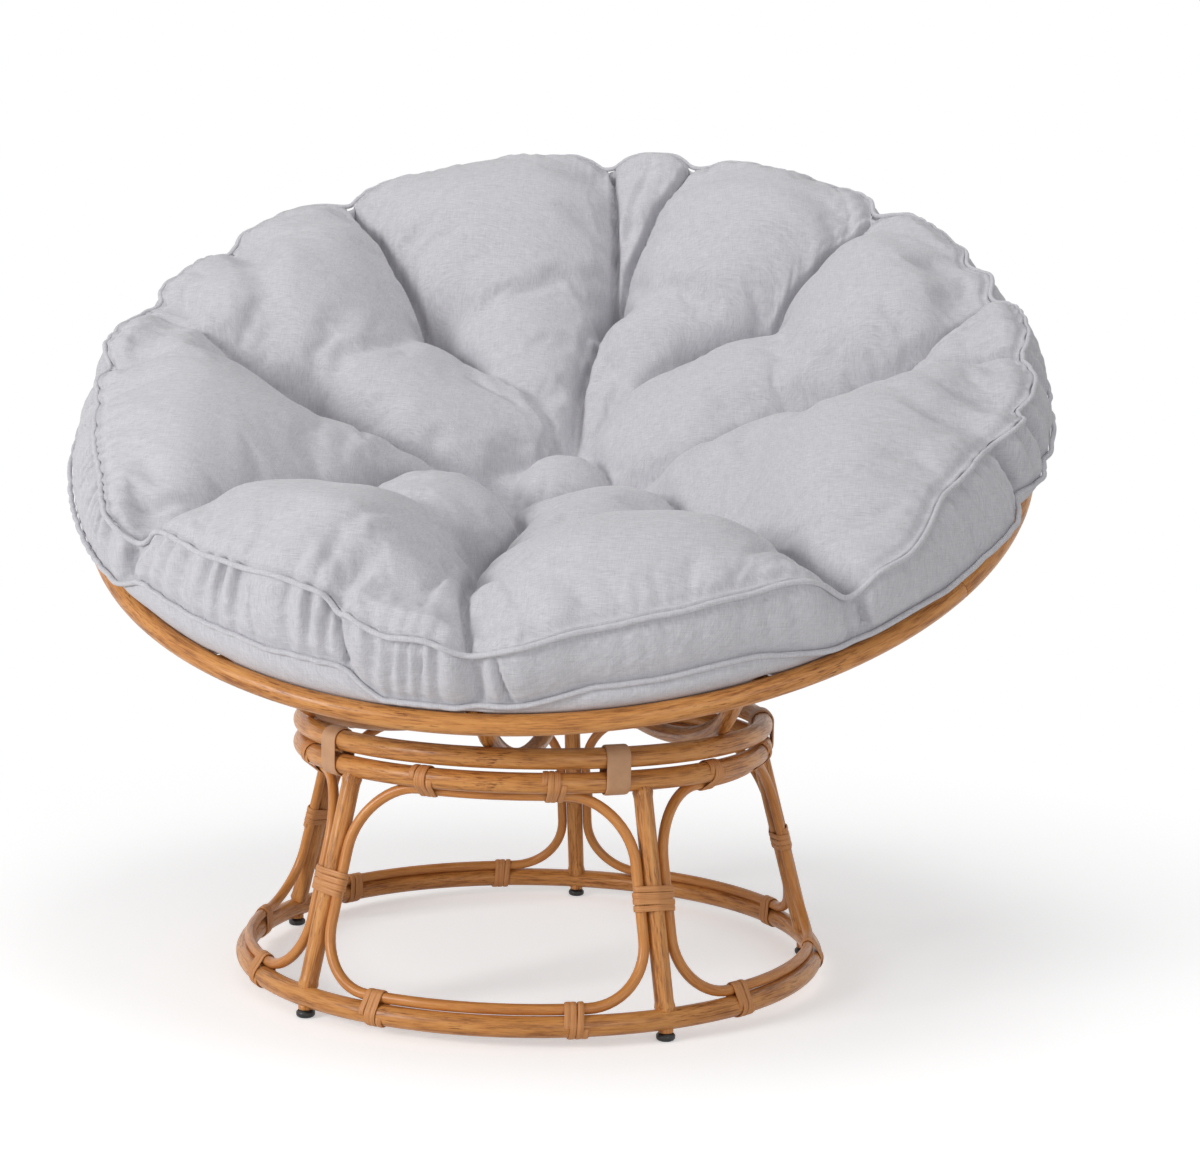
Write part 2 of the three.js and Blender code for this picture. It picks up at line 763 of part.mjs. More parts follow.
// The panel's columns run from the centre to the edge, some along the creases and some between.
function panelColumns() {
  const columns = [];
  crease_angles.forEach((start, crease) => {
    const next = crease_angles[(crease + 1) % crease_angles.length];
    const span = (next - start + whole_turn) % whole_turn;
    const shares = span < narrow_petal ? narrow_column_shares : column_shares;
    columns.push(...shares.map((share) => ({ crease, share })));
  });
  return columns;
}

function columnAngle(column, share) {
  const start = creaseAngleAt(column.crease, share);
  const end = creaseAngleAt((column.crease + 1) % crease_angles.length, share);
  const full_turn = Math.PI * 2;
  return start + ((end - start + full_turn) % full_turn) * column.share;
}

// A seam seen square to the rim's plane, and the panels' edge beside it, which leaves the piping
// its room.
function seamOutline(radiusAt) {
  return panelColumns().map((column) => {
    const angle = columnAngle(column, 1);
    return flat(angle, radiusAt(angle));
  });
}

function insetOutline(outline, room) {
  const count = outline.length;
  return outline.map((point, i) => {
    const before = inwardNormal(outline[(i + count - 1) % count], point);
    const after = inwardNormal(point, outline[(i + 1) % count]);
    const reach = (piping_r + room) / (1 + before.dot(after));
    return point.clone().addScaledVector(before.add(after), reach);
  });
}

function inwardNormal(start, end) {
  const step = end.clone().sub(start).normalize();
  return new THREE.Vector2(-step.y, step.x);
}

function overBowl(point, height) {
  return inBowl(point.length(), Math.atan2(point.x, -point.y), height);
}

// The underside lies on the ribs and then on the inside of the rim.
function undersideRings(angles) {
  const turns = [1, 3, 5, 7, 8].map((step) => ribTurn(step));
  const rings = [...turns, level_turn].map((turn) =>
    angles.map((angle) => {
      const reach = ribBodyReach(turn, crossingTurn(angle)) - rib_r - gap;
      return inBowl(reach * Math.sin(turn), angle, ball_drop - reach * Math.cos(turn));
    }),
  );
  const perch = ring_r * Math.SQRT1_2 + gap;
  rings.push(angles.map((angle) => inBowl(rim_radius - perch - rim_sag, angle, perch)));
  return rings;
}

function cushionBody() {
  const columns = panelColumns();
  const angles = columns.map((column) => columnAngle(column, 1));
  const low_edge = insetOutline(seamOutline(lowSeamRadius), low_piping_room);
  const top_edge = insetOutline(seamOutline(topSeamRadius), top_piping_room);
  const rings = undersideRings(angles);
  for (const share of [0, 0.3, 0.7, 1]) {
    rings.push(angles.map((angle, i) => gussetPoint(low_edge[i], top_edge[i], angle, share)));
  }
  for (const share of [...panel_ring_shares].reverse()) {
    rings.push(columns.map((column, i) => panelPoint(column, top_edge[i].length(), share)));
  }
  return closedSurface(rings, false);
}

function gussetPoint(low, high, angle, share) {
  const out = 4 * gusset_bulge * share * (1 - share);
  const point = low.clone().lerp(high, share);
  const height = lowSeamHeight(angle) + gap + (gusset_height - gap - gap) * share;
  return overBowl(point.setLength(point.length() + out), height);
}

function panelPoint(column, edge_radius, share) {
  return inBowl(edge_radius * share, columnAngle(column, share), panelHeight(column, share));
}

function piping(radiusAt, heightAt) {
  const stations = seamOutline(radiusAt).map((point) => ({
    centre: overBowl(point, heightAt(Math.atan2(point.x, -point.y))),
    normal: bowl_up,
    radius: piping_r,
  }));
  return tube(stations, 5, true);
}

function addCushion() {
  addPiece('cushion', cushionBody(), grey_linen);
  addPiece('piping_top', piping(topSeamRadius, topSeamHeight), grey_linen);
  addPiece('piping_bottom', piping(lowSeamRadius, lowSeamHeight), grey_linen);
}

addStandRings();
addLegs();
addLoops();
addRingWraps();
addLegWraps();
addGlides();
addFootRing();
addStraps();
addRim();
addRibs();
addCushion();
console.log(`Least gap of a wound strip to itself: ${least_strip_gap.toFixed(2)} mm`);

// The origin is on the floor, under the middle of the whole chair.
const extent = new THREE.Box3().setFromObject(group);
group.position.set(-(extent.min.x + extent.max.x) / 2, -(extent.min.y + extent.max.y) / 2, -extent.min.z);

export default group;
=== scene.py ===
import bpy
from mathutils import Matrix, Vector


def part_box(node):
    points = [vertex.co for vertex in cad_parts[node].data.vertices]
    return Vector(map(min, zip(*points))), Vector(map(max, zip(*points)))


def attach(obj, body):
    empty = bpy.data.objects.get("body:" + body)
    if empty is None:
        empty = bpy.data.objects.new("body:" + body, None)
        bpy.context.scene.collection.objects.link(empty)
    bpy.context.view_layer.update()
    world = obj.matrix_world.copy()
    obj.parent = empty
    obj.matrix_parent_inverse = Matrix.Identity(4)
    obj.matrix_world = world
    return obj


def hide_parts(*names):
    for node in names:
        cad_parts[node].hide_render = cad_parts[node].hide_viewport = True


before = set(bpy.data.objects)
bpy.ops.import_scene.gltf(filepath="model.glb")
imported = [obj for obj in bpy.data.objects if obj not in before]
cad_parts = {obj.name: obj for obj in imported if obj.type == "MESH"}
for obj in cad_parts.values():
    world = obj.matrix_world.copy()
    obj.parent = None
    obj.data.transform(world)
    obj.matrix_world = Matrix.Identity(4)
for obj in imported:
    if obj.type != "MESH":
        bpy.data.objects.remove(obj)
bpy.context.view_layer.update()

import math

import bpy
import numpy as np
from mathutils import Vector

# Stand rings
# Two hoops rolled from 21 mm steel tube, welded shut and coated with a printed wood grain.
# The lower one carries a short boss under each leg, which the levelling glides screw into.
ring_r = 0.0105
base_ring_radius = 0.308
top_ring_radius = 0.248
floor_clearance = 0.0105
base_ring_height = floor_clearance + ring_r
top_ring_height = 0.246
leg_count = 5
leg_step = 2 * math.pi / leg_count
boss_r = 0.0075
boss_drop = 0.0025
boss_rounding = 0.0008
# A hoop's own weld hides under a binding or a strap, which lies this far beside a leg.
binding_reach = 0.092
strap_offset = 0.029
low_corner, high_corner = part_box("stand_top_ring")
stand_axis = Vector(((low_corner.x + high_corner.x) / 2, (low_corner.y + high_corner.y) / 2, 0))
vertical = Vector((0, 0, 1))

honey = (0.595, 0.251, 0.066, 1)
honey_dark = (0.19, 0.054, 0.010, 1)
honey_pale = (0.71, 0.345, 0.105, 1)


# Angles start at the front and grow towards the right.
def outward(angle):
    return Vector((math.sin(angle), -math.cos(angle), 0))


def around(angle, radius, height):
    return stand_axis + outward(angle) * radius + vertical * height


def leg_angle(index):
    return leg_step / 2 + index * leg_step


def full_turn(count, start=0.0):
    return [start + 2 * math.pi * i / count for i in range(count)]


def mesh_piece(name, points, faces):
    mesh = bpy.data.meshes.new(name)
    mesh.from_pydata([tuple(point) for point in points], [], faces)
    mesh.polygons.foreach_set("use_smooth", [True] * len(mesh.polygons))
    mesh.update()
    piece = bpy.data.objects.new(name, mesh)
    bpy.context.scene.collection.objects.link(piece)
    return piece


# Turns the faces of a closed piece outwards.
def outside(piece):
    mesh = piece.data
    volume = 0.0
    for face in mesh.polygons:
        corners = [mesh.vertices[v].co for v in face.vertices]
        for b, c in zip(corners[1:-1], corners[2:]):
            volume += corners[0].dot(b.cross(c))
    if volume < 0:
        mesh.flip_normals()


# A skin over rows of points, each row a loop round the piece. Open ends get a cap. A layer keeps
# a place for each corner, worked out from its row and its side, which the material draws on.
def skin(name, rows, closed=False, layer=None, place_at=None):
    count, sides = len(rows), len(rows[0])
    loops = [[(i, j), (i, j + 1), (i + 1, j + 1), (i + 1, j)]
             for i in range(count if closed else count - 1) for j in range(sides)]
    if not closed:
        loops += [[(0, j) for j in reversed(range(sides))], [(count - 1, j) for j in range(sides)]]
    faces = [tuple(i % count * sides + j % sides for i, j in loop) for loop in loops]
    piece = mesh_piece(name, [point for row in rows for point in row], faces)
    if layer:
        places = piece.data.attributes.new(layer, "FLOAT_VECTOR", "CORNER").data
        corners = [place_at(i, j % sides) for loop in loops for i, j in loop]
        places.foreach_set("vector", [value for place in corners for value in place])
    outside(piece)
    return piece


# A round bar along its centres, with one way up and one radius or one for each centre. The grain
# runs along it and round it.
def drawn_tube(name, centres, ups, radii, sides=24, closed=False):
    count = len(centres)
    ups = ups if isinstance(ups, list) else [ups] * count
    radii = radii if isinstance(radii, list) else [radii] * count
    travel = [0.0]
    for start, end in zip(centres, centres[1:] + centres[:1]):
        travel.append(travel[-1] + (end - start).length)
    turns = full_turn(sides)
    rows = []
    for i, centre in enumerate(centres):
        before = centres[i - 1] if closed or i > 0 else centre
        after = centres[(i + 1) % count] if closed or i < count - 1 else centre
        along = (after - before).normalized()
        across = along.cross(ups[i]).normalized()
        up = across.cross(along)
        ways = [across * math.cos(turn) + up * math.sin(turn) for turn in turns]
        rows.append([centre + way * radii[i] for way in ways])

    def grain_at(i, j):
        r = radii[i % count]
        return travel[i], r * math.cos(turns[j]), r * math.sin(turns[j])

    return skin(name, rows, closed, "grain", grain_at)


def join_pieces(name, pieces):
    with bpy.context.temp_override(active_object=pieces[0], selected_editable_objects=pieces):
        bpy.ops.object.join()
    pieces[0].name = name
    return pieces[0]


def dress(piece, material, slot, body, *replaced):
    piece.data.materials.clear()
    piece.data.materials.append(material)
    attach(piece, body)
    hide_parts(*replaced)
    return piece


# A node with its feeds and settings. A setting that starts with a capital is one of its inputs.
def add_node(tree, kind, feeds=(), **settings):
    node = tree.nodes.new(kind)
    for key, value in settings.items():
        if key[0].isupper():
            node.inputs[key.replace("_", " ")].default_value = value
        else:
            setattr(node, key, value)
    for socket, source in feeds:
        tree.links.new(source, node.inputs[socket])
    return node


# A sum on two values, of which the second may be a plain number.
def maths(tree, operation, first, second):
    node = add_node(tree, "ShaderNodeMath", [(0, first)], operation=operation)
    if isinstance(second, float):
        node.inputs[1].default_value = second
    else:
        tree.links.new(second, node.inputs[1])
    return node.outputs[0]


# Noise that is finer in a direction the more it is spread there.
def noise(tree, place, spread, detail, rough=0.5):
    drawn_out = add_node(tree, "ShaderNodeVectorMath", [(0, place)], operation="MULTIPLY")
    drawn_out.inputs[1].default_value = spread
    return add_node(tree, "ShaderNodeTexNoise", [("Vector", drawn_out.outputs[0])],
                    Scale=1.0, Detail=detail, Roughness=rough).outputs["Fac"]


def ranged(tree, value, low, high, to_low=0.0, to_high=1.0):
    return add_node(tree, "ShaderNodeMapRange", [("Value", value)],
                    From_Min=low, From_Max=high, To_Min=to_low, To_Max=to_high).outputs[0]


def shades(tree, value, stops):
    node = add_node(tree, "ShaderNodeValToRGB", [("Fac", value)])
    elements = node.color_ramp.elements
    while len(elements) < len(stops):
        elements.new(1)
    for element, (place, colour) in zip(elements, stops):
        element.position = place
        element.color = colour
    return node.outputs["Color"]


def grey(value):
    return (value, value, value, 1)


def new_material(name):
    material = bpy.data.materials.new(name)
    material.use_nodes = True
    tree = material.node_tree
    return material, tree, tree.nodes["Principled BSDF"]


# Feeds a shader its colour, its roughness and a raised pattern.
def surface(tree, shader, colour, rough, height, strength, distance):
    bump = add_node(tree, "ShaderNodeBump", [("Height", height)],
                    Strength=strength, Distance=distance)
    feeds = (("Base Color", colour), ("Roughness", rough), ("Normal", bump.outputs["Normal"]))
    for label, source in feeds:
        tree.links.new(source, shader.inputs[label])


# Printed wood grain: long streaks with finer lines in them, and short dark pores in patches.
def wood_grain_group():
    tree = bpy.data.node_groups.new("printed_wood_grain", "ShaderNodeTree")
    sockets = [
        ("Place", "INPUT", "Vector", None), ("Wood", "INPUT", "Color", honey),
        ("Dark grain", "INPUT", "Color", honey_dark), ("Pale grain", "INPUT", "Color", honey_pale),
        ("Streaks", "INPUT", "Float", 1.0), ("Pores", "INPUT", "Float", 1.0),
        ("Color", "OUTPUT", "Color", None), ("Roughness", "OUTPUT", "Float", None),
        ("Height", "OUTPUT", "Float", None),
    ]
    for label, way, kind, value in sockets:
        socket = tree.interface.new_socket(name=label, in_out=way, socket_type="NodeSocket" + kind)
        if value is not None:
            socket.default_value = value
    given = tree.nodes.new("NodeGroupInput").outputs
    result = tree.nodes.new("NodeGroupOutput").inputs
    place = given["Place"]
    broad = noise(tree, place, (15, 130, 130), 3.0, 0.55)
    fine = noise(tree, place, (45, 600, 600), 4.0, 0.6)
    pores = ranged(tree, noise(tree, place, (70, 620, 620), 3.0, 0.6), 0.54, 0.68)
    patches = ranged(tree, noise(tree, place, (13, 30, 30), 2.0), 0.38, 0.62)
    streak = maths(tree, "ADD", broad, fine)
    dark = maths(tree, "MULTIPLY", ranged(tree, streak, 0.98, 1.28), given["Streaks"])
    pale = maths(tree, "MULTIPLY", ranged(tree, streak, 0.98, 0.72), given["Streaks"])
    pore = maths(tree, "MULTIPLY", maths(tree, "MULTIPLY", pores, patches), given["Pores"])
    colour = given["Wood"]
    for amount, shade in ((pale, "Pale grain"), (dark, "Dark grain"), (pore, "Dark grain")):
        mix = add_node(tree, "ShaderNodeMix", [(0, amount), (6, colour), (7, given[shade])],
                       data_type="RGBA", clamp_factor=True)
        colour = mix.outputs[2]
    tree.links.new(colour, result["Color"])
    tree.links.new(ranged(tree, fine, 0.3, 0.7, 0.3, 0.46), result["Roughness"])
    tree.links.new(maths(tree, "SUBTRACT", fine, pore), result["Height"])
    return tree


wood_grain = wood_grain_group()


def wood_look(name, wood, dark, pale, streaks, pores, gloss):
    material, tree, shader = new_material(name)
    place = add_node(tree, "ShaderNodeAttribute", attribute_name="grain").outputs["Vector"]
    grain = add_node(tree, "ShaderNodeGroup", [("Place", place)], node_tree=wood_grain, Wood=wood,
                     Dark_grain=dark, Pale_grain=pale, Streaks=streaks, Pores=pores).outputs
    surface(tree, shader, grain["Color"], grain["Roughness"], grain["Height"], 0.12, 0.0006)
    shader.inputs["Specular IOR Level"].default_value = 0.3
    shader.inputs["Coat Weight"].default_value = gloss
    shader.inputs["Coat Roughness"].default_value = 0.25
    return material


wood_tube = wood_look("wood_look_tube", honey, honey_dark, honey_pale, 0.8, 0.95, 0.14)


def steel(piece, node):
    return dress(piece, wood_tube, "wood_look_tube", "chair", node)


def hoop(name, radius, height, weld_reach):
    weld = leg_step / 2 - weld_reach / radius
    centres = [around(turn, radius, height) for turn in full_turn(220, weld)]
    return drawn_tube(name, centres, vertical, ring_r, 28, closed=True)


def glide_boss(index):
    top = around(leg_angle(index), base_ring_radius, base_ring_height - ring_r * 0.7)
    bottom = around(leg_angle(index), base_ring_radius, base_ring_height - ring_r - boss_drop)
    step = boss_rounding * 0.3
    centres = [top, bottom + vertical * boss_rounding, bottom + vertical * step, bottom]
    radii = [boss_r, boss_r, boss_r - step, boss_r - boss_rounding]
    return drawn_tube(f"boss_{index + 1}", centres, outward(leg_angle(index)), radii)


bottom_ring = hoop("stand_bottom_ring_tube", base_ring_radius, base_ring_height, binding_reach)
bosses = [glide_boss(index) for index in range(leg_count)]
steel(join_pieces("stand_bottom_ring_tube", [bottom_ring] + bosses), "stand_bottom_ring")
top_ring = hoop("stand_top_ring_tube", top_ring_radius, top_ring_height, strap_offset)
steel(top_ring, "stand_top_ring")

# Legs
# Five straight 19 mm tubes, coped and welded between the two rings, leaning in towards the top.
# Each weld runs out in a small fillet under the coating.
leg_r = 0.0095
weld_height = 0.007
weld_spread = 0.0022


def leg_piece(index):
    angle = leg_angle(index)
    foot = around(angle, base_ring_radius, base_ring_height)
    head = around(angle, top_ring_radius, top_ring_height)
    length = (head - foot).length
    steps = 40
    centres, radii = [], []
    for i in range(steps + 1):
        away = length * i / steps
        to_ring = min(away, length - away) - ring_r * 0.9
        spread = weld_spread * max(0.0, 1 - max(to_ring, 0.0) / weld_height) ** 2
        centres.append(foot.lerp(head, i / steps))
        # Inside a ring the tube is drawn thinner, so that it stays hidden.
        radii.append(leg_r + spread if to_ring > 0 else leg_r * 0.8)
    piece = drawn_tube(f"leg_tube_{index + 1}", centres, outward(angle), radii)
    return steel(piece, f"leg_{index + 1}")


for leg_index in range(leg_count):
    leg_piece(leg_index)

# Rod loops
# Five closed loops of 11 mm steel rod, one between each pair of legs. Each follows the rings at
# the bottom and the top and lies along the legs, with wide bends at its corners.
rod_r = 0.0055
loop_side_gap = 0.00035
lower_corner_height = 0.060
upper_corner_height = 0.065
loop_tuck = 0.009
binding_width = 0.0242
rod_amber = (0.60, 0.240, 0.060, 1)
rod_amber_dark = (0.34, 0.115, 0.026, 1)
rod_amber_pale = (0.68, 0.34, 0.11, 1)
wood_rod = wood_look("wood_look_rod", rod_amber, rod_amber_dark, rod_amber_pale, 0.6, 0.35, 0.12)

leg_lean = math.atan((base_ring_radius - top_ring_radius) / (top_ring_height - base_ring_height))
rod_reach = ring_r + rod_r + loop_side_gap
loop_low = base_ring_height + rod_reach * math.cos(leg_lean)
loop_high = top_ring_height - rod_reach * math.cos(math.asin(loop_tuck / rod_reach))
beside_leg = leg_r + rod_r + loop_side_gap
corner_reach = binding_reach - binding_width / 2


# The distance of a leg's middle line from the stand's axis.
def leg_line(height):
    share = (height - base_ring_height) / (top_ring_height - base_ring_height)
    return base_ring_radius + (top_ring_radius - base_ring_radius) * share


# A place on a loop beside a leg: how far from the leg's middle, how high, and how far it has come
# on its way in under the top ring.
def loop_place(bay, side, away, height, tuck):
    line = leg_line(height)
    radius = line + (top_ring_radius - loop_tuck - leg_line(loop_high)) * tuck * tuck
    return around(bay + side * (leg_step / 2 - away / line), radius, height)


def loop_piece(index):
    bay = index * leg_step
    corner = corner_reach - beside_leg
    bend_steps, straight_steps, run_steps = 14, 12, 26
    low_end, high_end = loop_low + lower_corner_height, loop_high - upper_corner_height
    side_path = []
    for i in range(bend_steps + 1):
        turn = i / bend_steps * math.pi / 2
        rise = lower_corner_height * (1 - math.cos(turn))
        side_path.append((corner_reach - corner * math.sin(turn), loop_low + rise, 0.0))
    for i in range(1, straight_steps):
        side_path.append((beside_leg, low_end + (high_end - low_end) * i / straight_steps, 0.0))
    for i in range(bend_steps + 1):
        turn = (1 - i / bend_steps) * math.pi / 2
        rise = 1 - math.cos(turn)
        away = corner_reach - corner * math.sin(turn)
        side_path.append((away, loop_high - upper_corner_height * rise, 1 - rise))

    def run(height, radius):
        half = leg_step / 2 - corner_reach / leg_line(height)
        turns = [bay + half * (2 * i / run_steps - 1) for i in range(1, run_steps)]
        return [around(turn, radius, height) for turn in turns]

    centres = run(loop_low, leg_line(loop_low))
    centres += [loop_place(bay, 1, *step) for step in side_path]
    centres += reversed(run(loop_high, top_ring_radius - loop_tuck))
    centres += [loop_place(bay, -1, *step) for step in reversed(side_path)]
    ups = []
    for centre in centres:
        flat = centre - stand_axis
        flat.z = 0
        ups.append(flat.normalized() * math.cos(leg_lean) + vertical * math.sin(leg_lean))
    piece = drawn_tube(f"loop_rod_{index + 1}", centres, ups, rod_r, 16, closed=True)
    return dress(piece, wood_rod, "wood_look_rod", "chair", f"loop_{index + 1}")


for loop_index in range(leg_count):
    loop_piece(loop_index)

# Strip bindings
# Flat rattan-look plastic strip, 6 mm wide and ribbed lengthwise, wound tight round each place
# where a rod meets a ring or a leg. Its two ends are tucked under the turns.
strip_width = 0.0060
strip_thickness = 0.0012
strip_pitch = 0.0062
binding_clearance = 0.0006
ring_binding_turns = 3
leg_binding_turns = 3.5
# How far a strip strays from its line, as a height, a rate per turn and a shift with its seed.
strip_wander = [(0.00035, 3.1, 1), (0.0002, 11, 2)]
strip_tan = (0.59, 0.248, 0.078, 1)
strip_dark = (0.38, 0.145, 0.040, 1)
strip_pale = (0.70, 0.36, 0.14, 1)


def strip_look():
    material, tree, shader = new_material("binding_strip")
    place = add_node(tree, "ShaderNodeAttribute", attribute_name="strand").outputs["Vector"]
    strands = noise(tree, place, (22, 2600, 300), 3.0, 0.6)
    colour = shades(tree, strands, [(0.3, strip_dark), (0.5, strip_tan), (0.75, strip_pale)])
    surface(tree, shader, colour, ranged(tree, strands, 0.0, 1.0, 0.62, 0.45), strands, 0.5, 0.0004)
    return material


binding_strip = strip_look()


# The path of a strip pulled tight round several rods, the way out of it at each point and its
# length. Each rod is a centre and a radius.
def tight_path(rods, offset, count):
    points = []
    for turn in full_turn(720):
        facing = Vector((math.cos(turn), math.sin(turn)))
        centre, radius = max(rods, key=lambda rod: rod[0].dot(facing) + rod[1])
        points.append(centre + facing * (radius + offset))
    travel = [0.0]
    for a, b in zip(points, points[1:] + points[:1]):
        travel.append(travel[-1] + (b - a).length)
    path, at = [], 0
    for i in range(count):
        target = travel[-1] * i / count
        while travel[at + 1] < target:
            at += 1
        share = (target - travel[at]) / max(travel[at + 1] - travel[at], 1e-9)
        path.append(points[at].lerp(points[(at + 1) % len(points)], share))
    steps = [path[(i + 1) % count] - path[i - 1] for i in range(count)]
    return path, [Vector((step.y, -step.x)).normalized() for step in steps], travel[-1]


# One strip from its first tucked end to its last. The section is flat inside and crowned outside,
# the strip wanders and leans a little, and its ends dive under the turn beside them.
def wound_strip(name, rods, turns, place, seed):
    per_turn = 72
    path, ways, length = tight_path(rods, binding_clearance, per_turn)
    shares = [-1, -0.9, -0.55, 0, 0.55, 0.9, 1]
    outline = [(share, 0.55 + 0.45 * (1 - share ** 4)) for share in shares]
    outline += [(share, 0.0) for share in reversed(shares)]
    total = int(turns * per_turn)
    tuck = per_turn * 0.1
    rows = []
    for i in range(total + 1):
        turn = i / per_turn
        middle = (turn - turns / 2) * strip_pitch
        middle += sum(size * math.sin(rate * turn + shift * seed) for size, rate, shift in strip_wander)
        under = max(0.0, 1 - min(i, total - i) / tuck)
        lift = -strip_thickness * 1.2 * under ** 2
        lean = 0.22 * math.sin(2.3 * turn + seed)
        row = []
        for across, high in outline:
            out = lift + strip_thickness * (high + 0.25 * lean * across)
            point = path[i % per_turn] + ways[i % per_turn] * out
            row.append(place(point, middle + across * strip_width / 2))
        rows.append(row)

    def strand_at(i, j):
        across, high = outline[j]
        return i / per_turn * length + seed, across * strip_width / 2, high * strip_thickness + seed

    return skin(name, rows, layer="strand", place_at=strand_at)


def along_ring(angle, radius):
    return lambda point, along: around(angle + along / radius, point.x, point.y)


def ring_binding(level, ending, rods, angle, radius, seed):
    place = along_ring(angle, radius)
    piece = wound_strip(f"{level}_binding_{ending}", rods, ring_binding_turns, place, seed)
    return dress(piece, binding_strip, "binding_strip", "chair", f"{level}_wrap_{ending}")


low_radius, high_radius = leg_line(loop_low), leg_line(loop_high)
low_rods = [(Vector((base_ring_radius, base_ring_height)), ring_r),
            (Vector((low_radius, loop_low)), rod_r)]
high_rods = [(Vector((top_ring_radius, top_ring_height)), ring_r),
             (Vector((top_ring_radius - loop_tuck, loop_high)), rod_r)]
for bay in range(leg_count):
    for letter, side in (("a", -1), ("b", 1)):
        levels = (("bottom", low_rods, low_radius, 0), ("top", high_rods, high_radius, 5))
        for level, rods, radius, more in levels:
            angle = bay * leg_step + side * (leg_step / 2 - binding_reach / radius)
            ring_binding(level, f"{bay + 1}{letter}", rods, angle, radius, bay * 1.7 + side + more)


def leg_binding(index):
    rods = [(Vector((0, 0)), leg_r)]
    rods += [(Vector((beside_leg * side, 0)), rod_r) for side in (1, -1)]
    angle = leg_angle(index)
    foot = around(angle, base_ring_radius, base_ring_height)
    head = around(angle, top_ring_radius, top_ring_height)
    middle = foot.lerp(head, 0.5)
    along = (head - foot).normalized()
    side = outward(angle + math.pi / 2)
    out = side.cross(along)

    def place(point, step):
        return middle + side * point.x + out * point.y + along * step

    piece = wound_strip(f"leg_binding_{index + 1}", rods, leg_binding_turns, place, index * 2.3 + 9)
    return dress(piece, binding_strip, "binding_strip", "chair", f"leg_wrap_{index + 1}")


for leg_index in range(leg_count):
    leg_binding(leg_index)

# Levelling glides
# Moulded black feet with a rounded sole and a threaded stem. One is screwed up into each boss, and
# screwing it out raises the stand there.
glide_r = 0.0095
glide_height = 0.0077
glide_stem_r = 0.004
glide_stem_length = 0.018
thread_depth = 0.0004
thread_count = 12


def glide_look():
    material, tree, shader = new_material("black_glide")
    place = add_node(tree, "ShaderNodeTexCoord").outputs["Object"]
    speckle = noise(tree, place, (900, 900, 900), 2.0)
    colour = shades(tree, speckle, [(0.35, grey(0.008)), (0.7, grey(0.022))])
    surface(tree, shader, colour, ranged(tree, speckle, 0.0, 1.0, 0.3, 0.5), speckle, 0.2, 0.0002)
    return material


black_glide = glide_look()


# The sole's rounding, the foot's side and its drawn-in top, then the thread.
def glide_piece(index):
    shape = [(0.62, 0.0)]
    for step in (0.2, 0.4, 0.6, 0.8, 1.0):
        turn = step * math.pi / 2
        shape.append((0.62 + 0.38 * math.sin(turn), 0.42 * (1 - math.cos(turn))))
    shape += [(1.0, 0.66), (0.97, 0.76), (0.86, 0.86), (0.8, 1.0)]
    outline = [(glide_r * out, glide_height * up) for out, up in shape]
    outline.append((glide_stem_r, glide_height))
    for i in range(thread_count):
        base = glide_height + glide_stem_length * i / thread_count
        outline.append((glide_stem_r - thread_depth, base + thread_depth / 2))
        outline.append((glide_stem_r, base + 2 * thread_depth))
    outline.append((glide_stem_r - 2 * thread_depth, glide_height + glide_stem_length))
    centre = around(leg_angle(index), base_ring_radius, 0)
    ways = [Vector((math.cos(turn), math.sin(turn), 0)) for turn in full_turn(32)]
    rows = [[centre + way * radius + vertical * up for way in ways] for radius, up in outline]
    piece = skin(f"glide_foot_{index + 1}", rows)
    return dress(piece, black_glide, "black_glide", f"glide_{index + 1}", f"glide_{index + 1}")


for leg_index in range(leg_count):
    glide_piece(leg_index)

# Bowl foot ring
# A third 21 mm hoop, welded under the bowl's ribs. It sits on the stand's top ring and the straps
# hold the two together.
ring_gap = 0.00325
foot_ring_height = top_ring_height + 2 * ring_r + ring_gap
foot_ring = hoop("bowl_foot_ring_tube", top_ring_radius, foot_ring_height, strap_offset)
steel(foot_ring, "bowl_foot_ring")

# Straps
# Bands of tan faux leather, 24 mm wide with turned edges. Each goes round both rings beside a leg
# and is drawn tight.
strap_width = 0.024
strap_thickness = 0.0019
strap_clearance = 0.0007
strap_tan = (0.51, 0.27, 0.135, 1)
strap_pale = (0.60, 0.335, 0.18, 1)


def strap_look():
    material, tree, shader = new_material("tan_strap")
    place = add_node(tree, "ShaderNodeTexCoord").outputs["Object"]
    pebbles = add_node(tree, "ShaderNodeTexVoronoi", [("Vector", place)], Scale=1400.0)
    cloud = noise(tree, place, (60, 60, 60), 4.0)
    colour = shades(tree, cloud, [(0.3, strap_tan), (0.7, strap_pale)])
    rough = ranged(tree, cloud, 0.0, 1.0, 0.42, 0.6)
    surface(tree, shader, colour, rough, pebbles.outputs["Distance"], 0.25, 0.0002)
    return material


tan_strap = strap_look()


def strap_piece(index):
    heights = (top_ring_height, foot_ring_height)
    rods = [(Vector((top_ring_radius, height)), ring_r) for height in heights]
    place = along_ring(leg_angle(index) - strap_offset / top_ring_radius, top_ring_radius)
    path, ways, _ = tight_path(rods, strap_clearance, 96)
    shares = [-1, -0.985, -0.93, -0.8, -0.4, 0, 0.4, 0.8, 0.93, 0.985, 1]
    outline = [(share, 1 - 0.55 * max(0.0, (abs(share) - 0.8) / 0.2) ** 3) for share in shares]
    outline += [(share, 0.0) for share in (0.97, 0.5, 0, -0.5, -0.97)]
    rows = [[place(at + way * strap_thickness * high, across * strap_width / 2)
             for across, high in outline] for at, way in zip(path, ways)]
    piece = skin(f"strap_band_{index + 1}", rows, closed=True)
    return dress(piece, tan_strap, "tan_strap", "chair", f"strap_{index + 1}")


for leg_index in range(leg_count):
    strap_piece(leg_index)

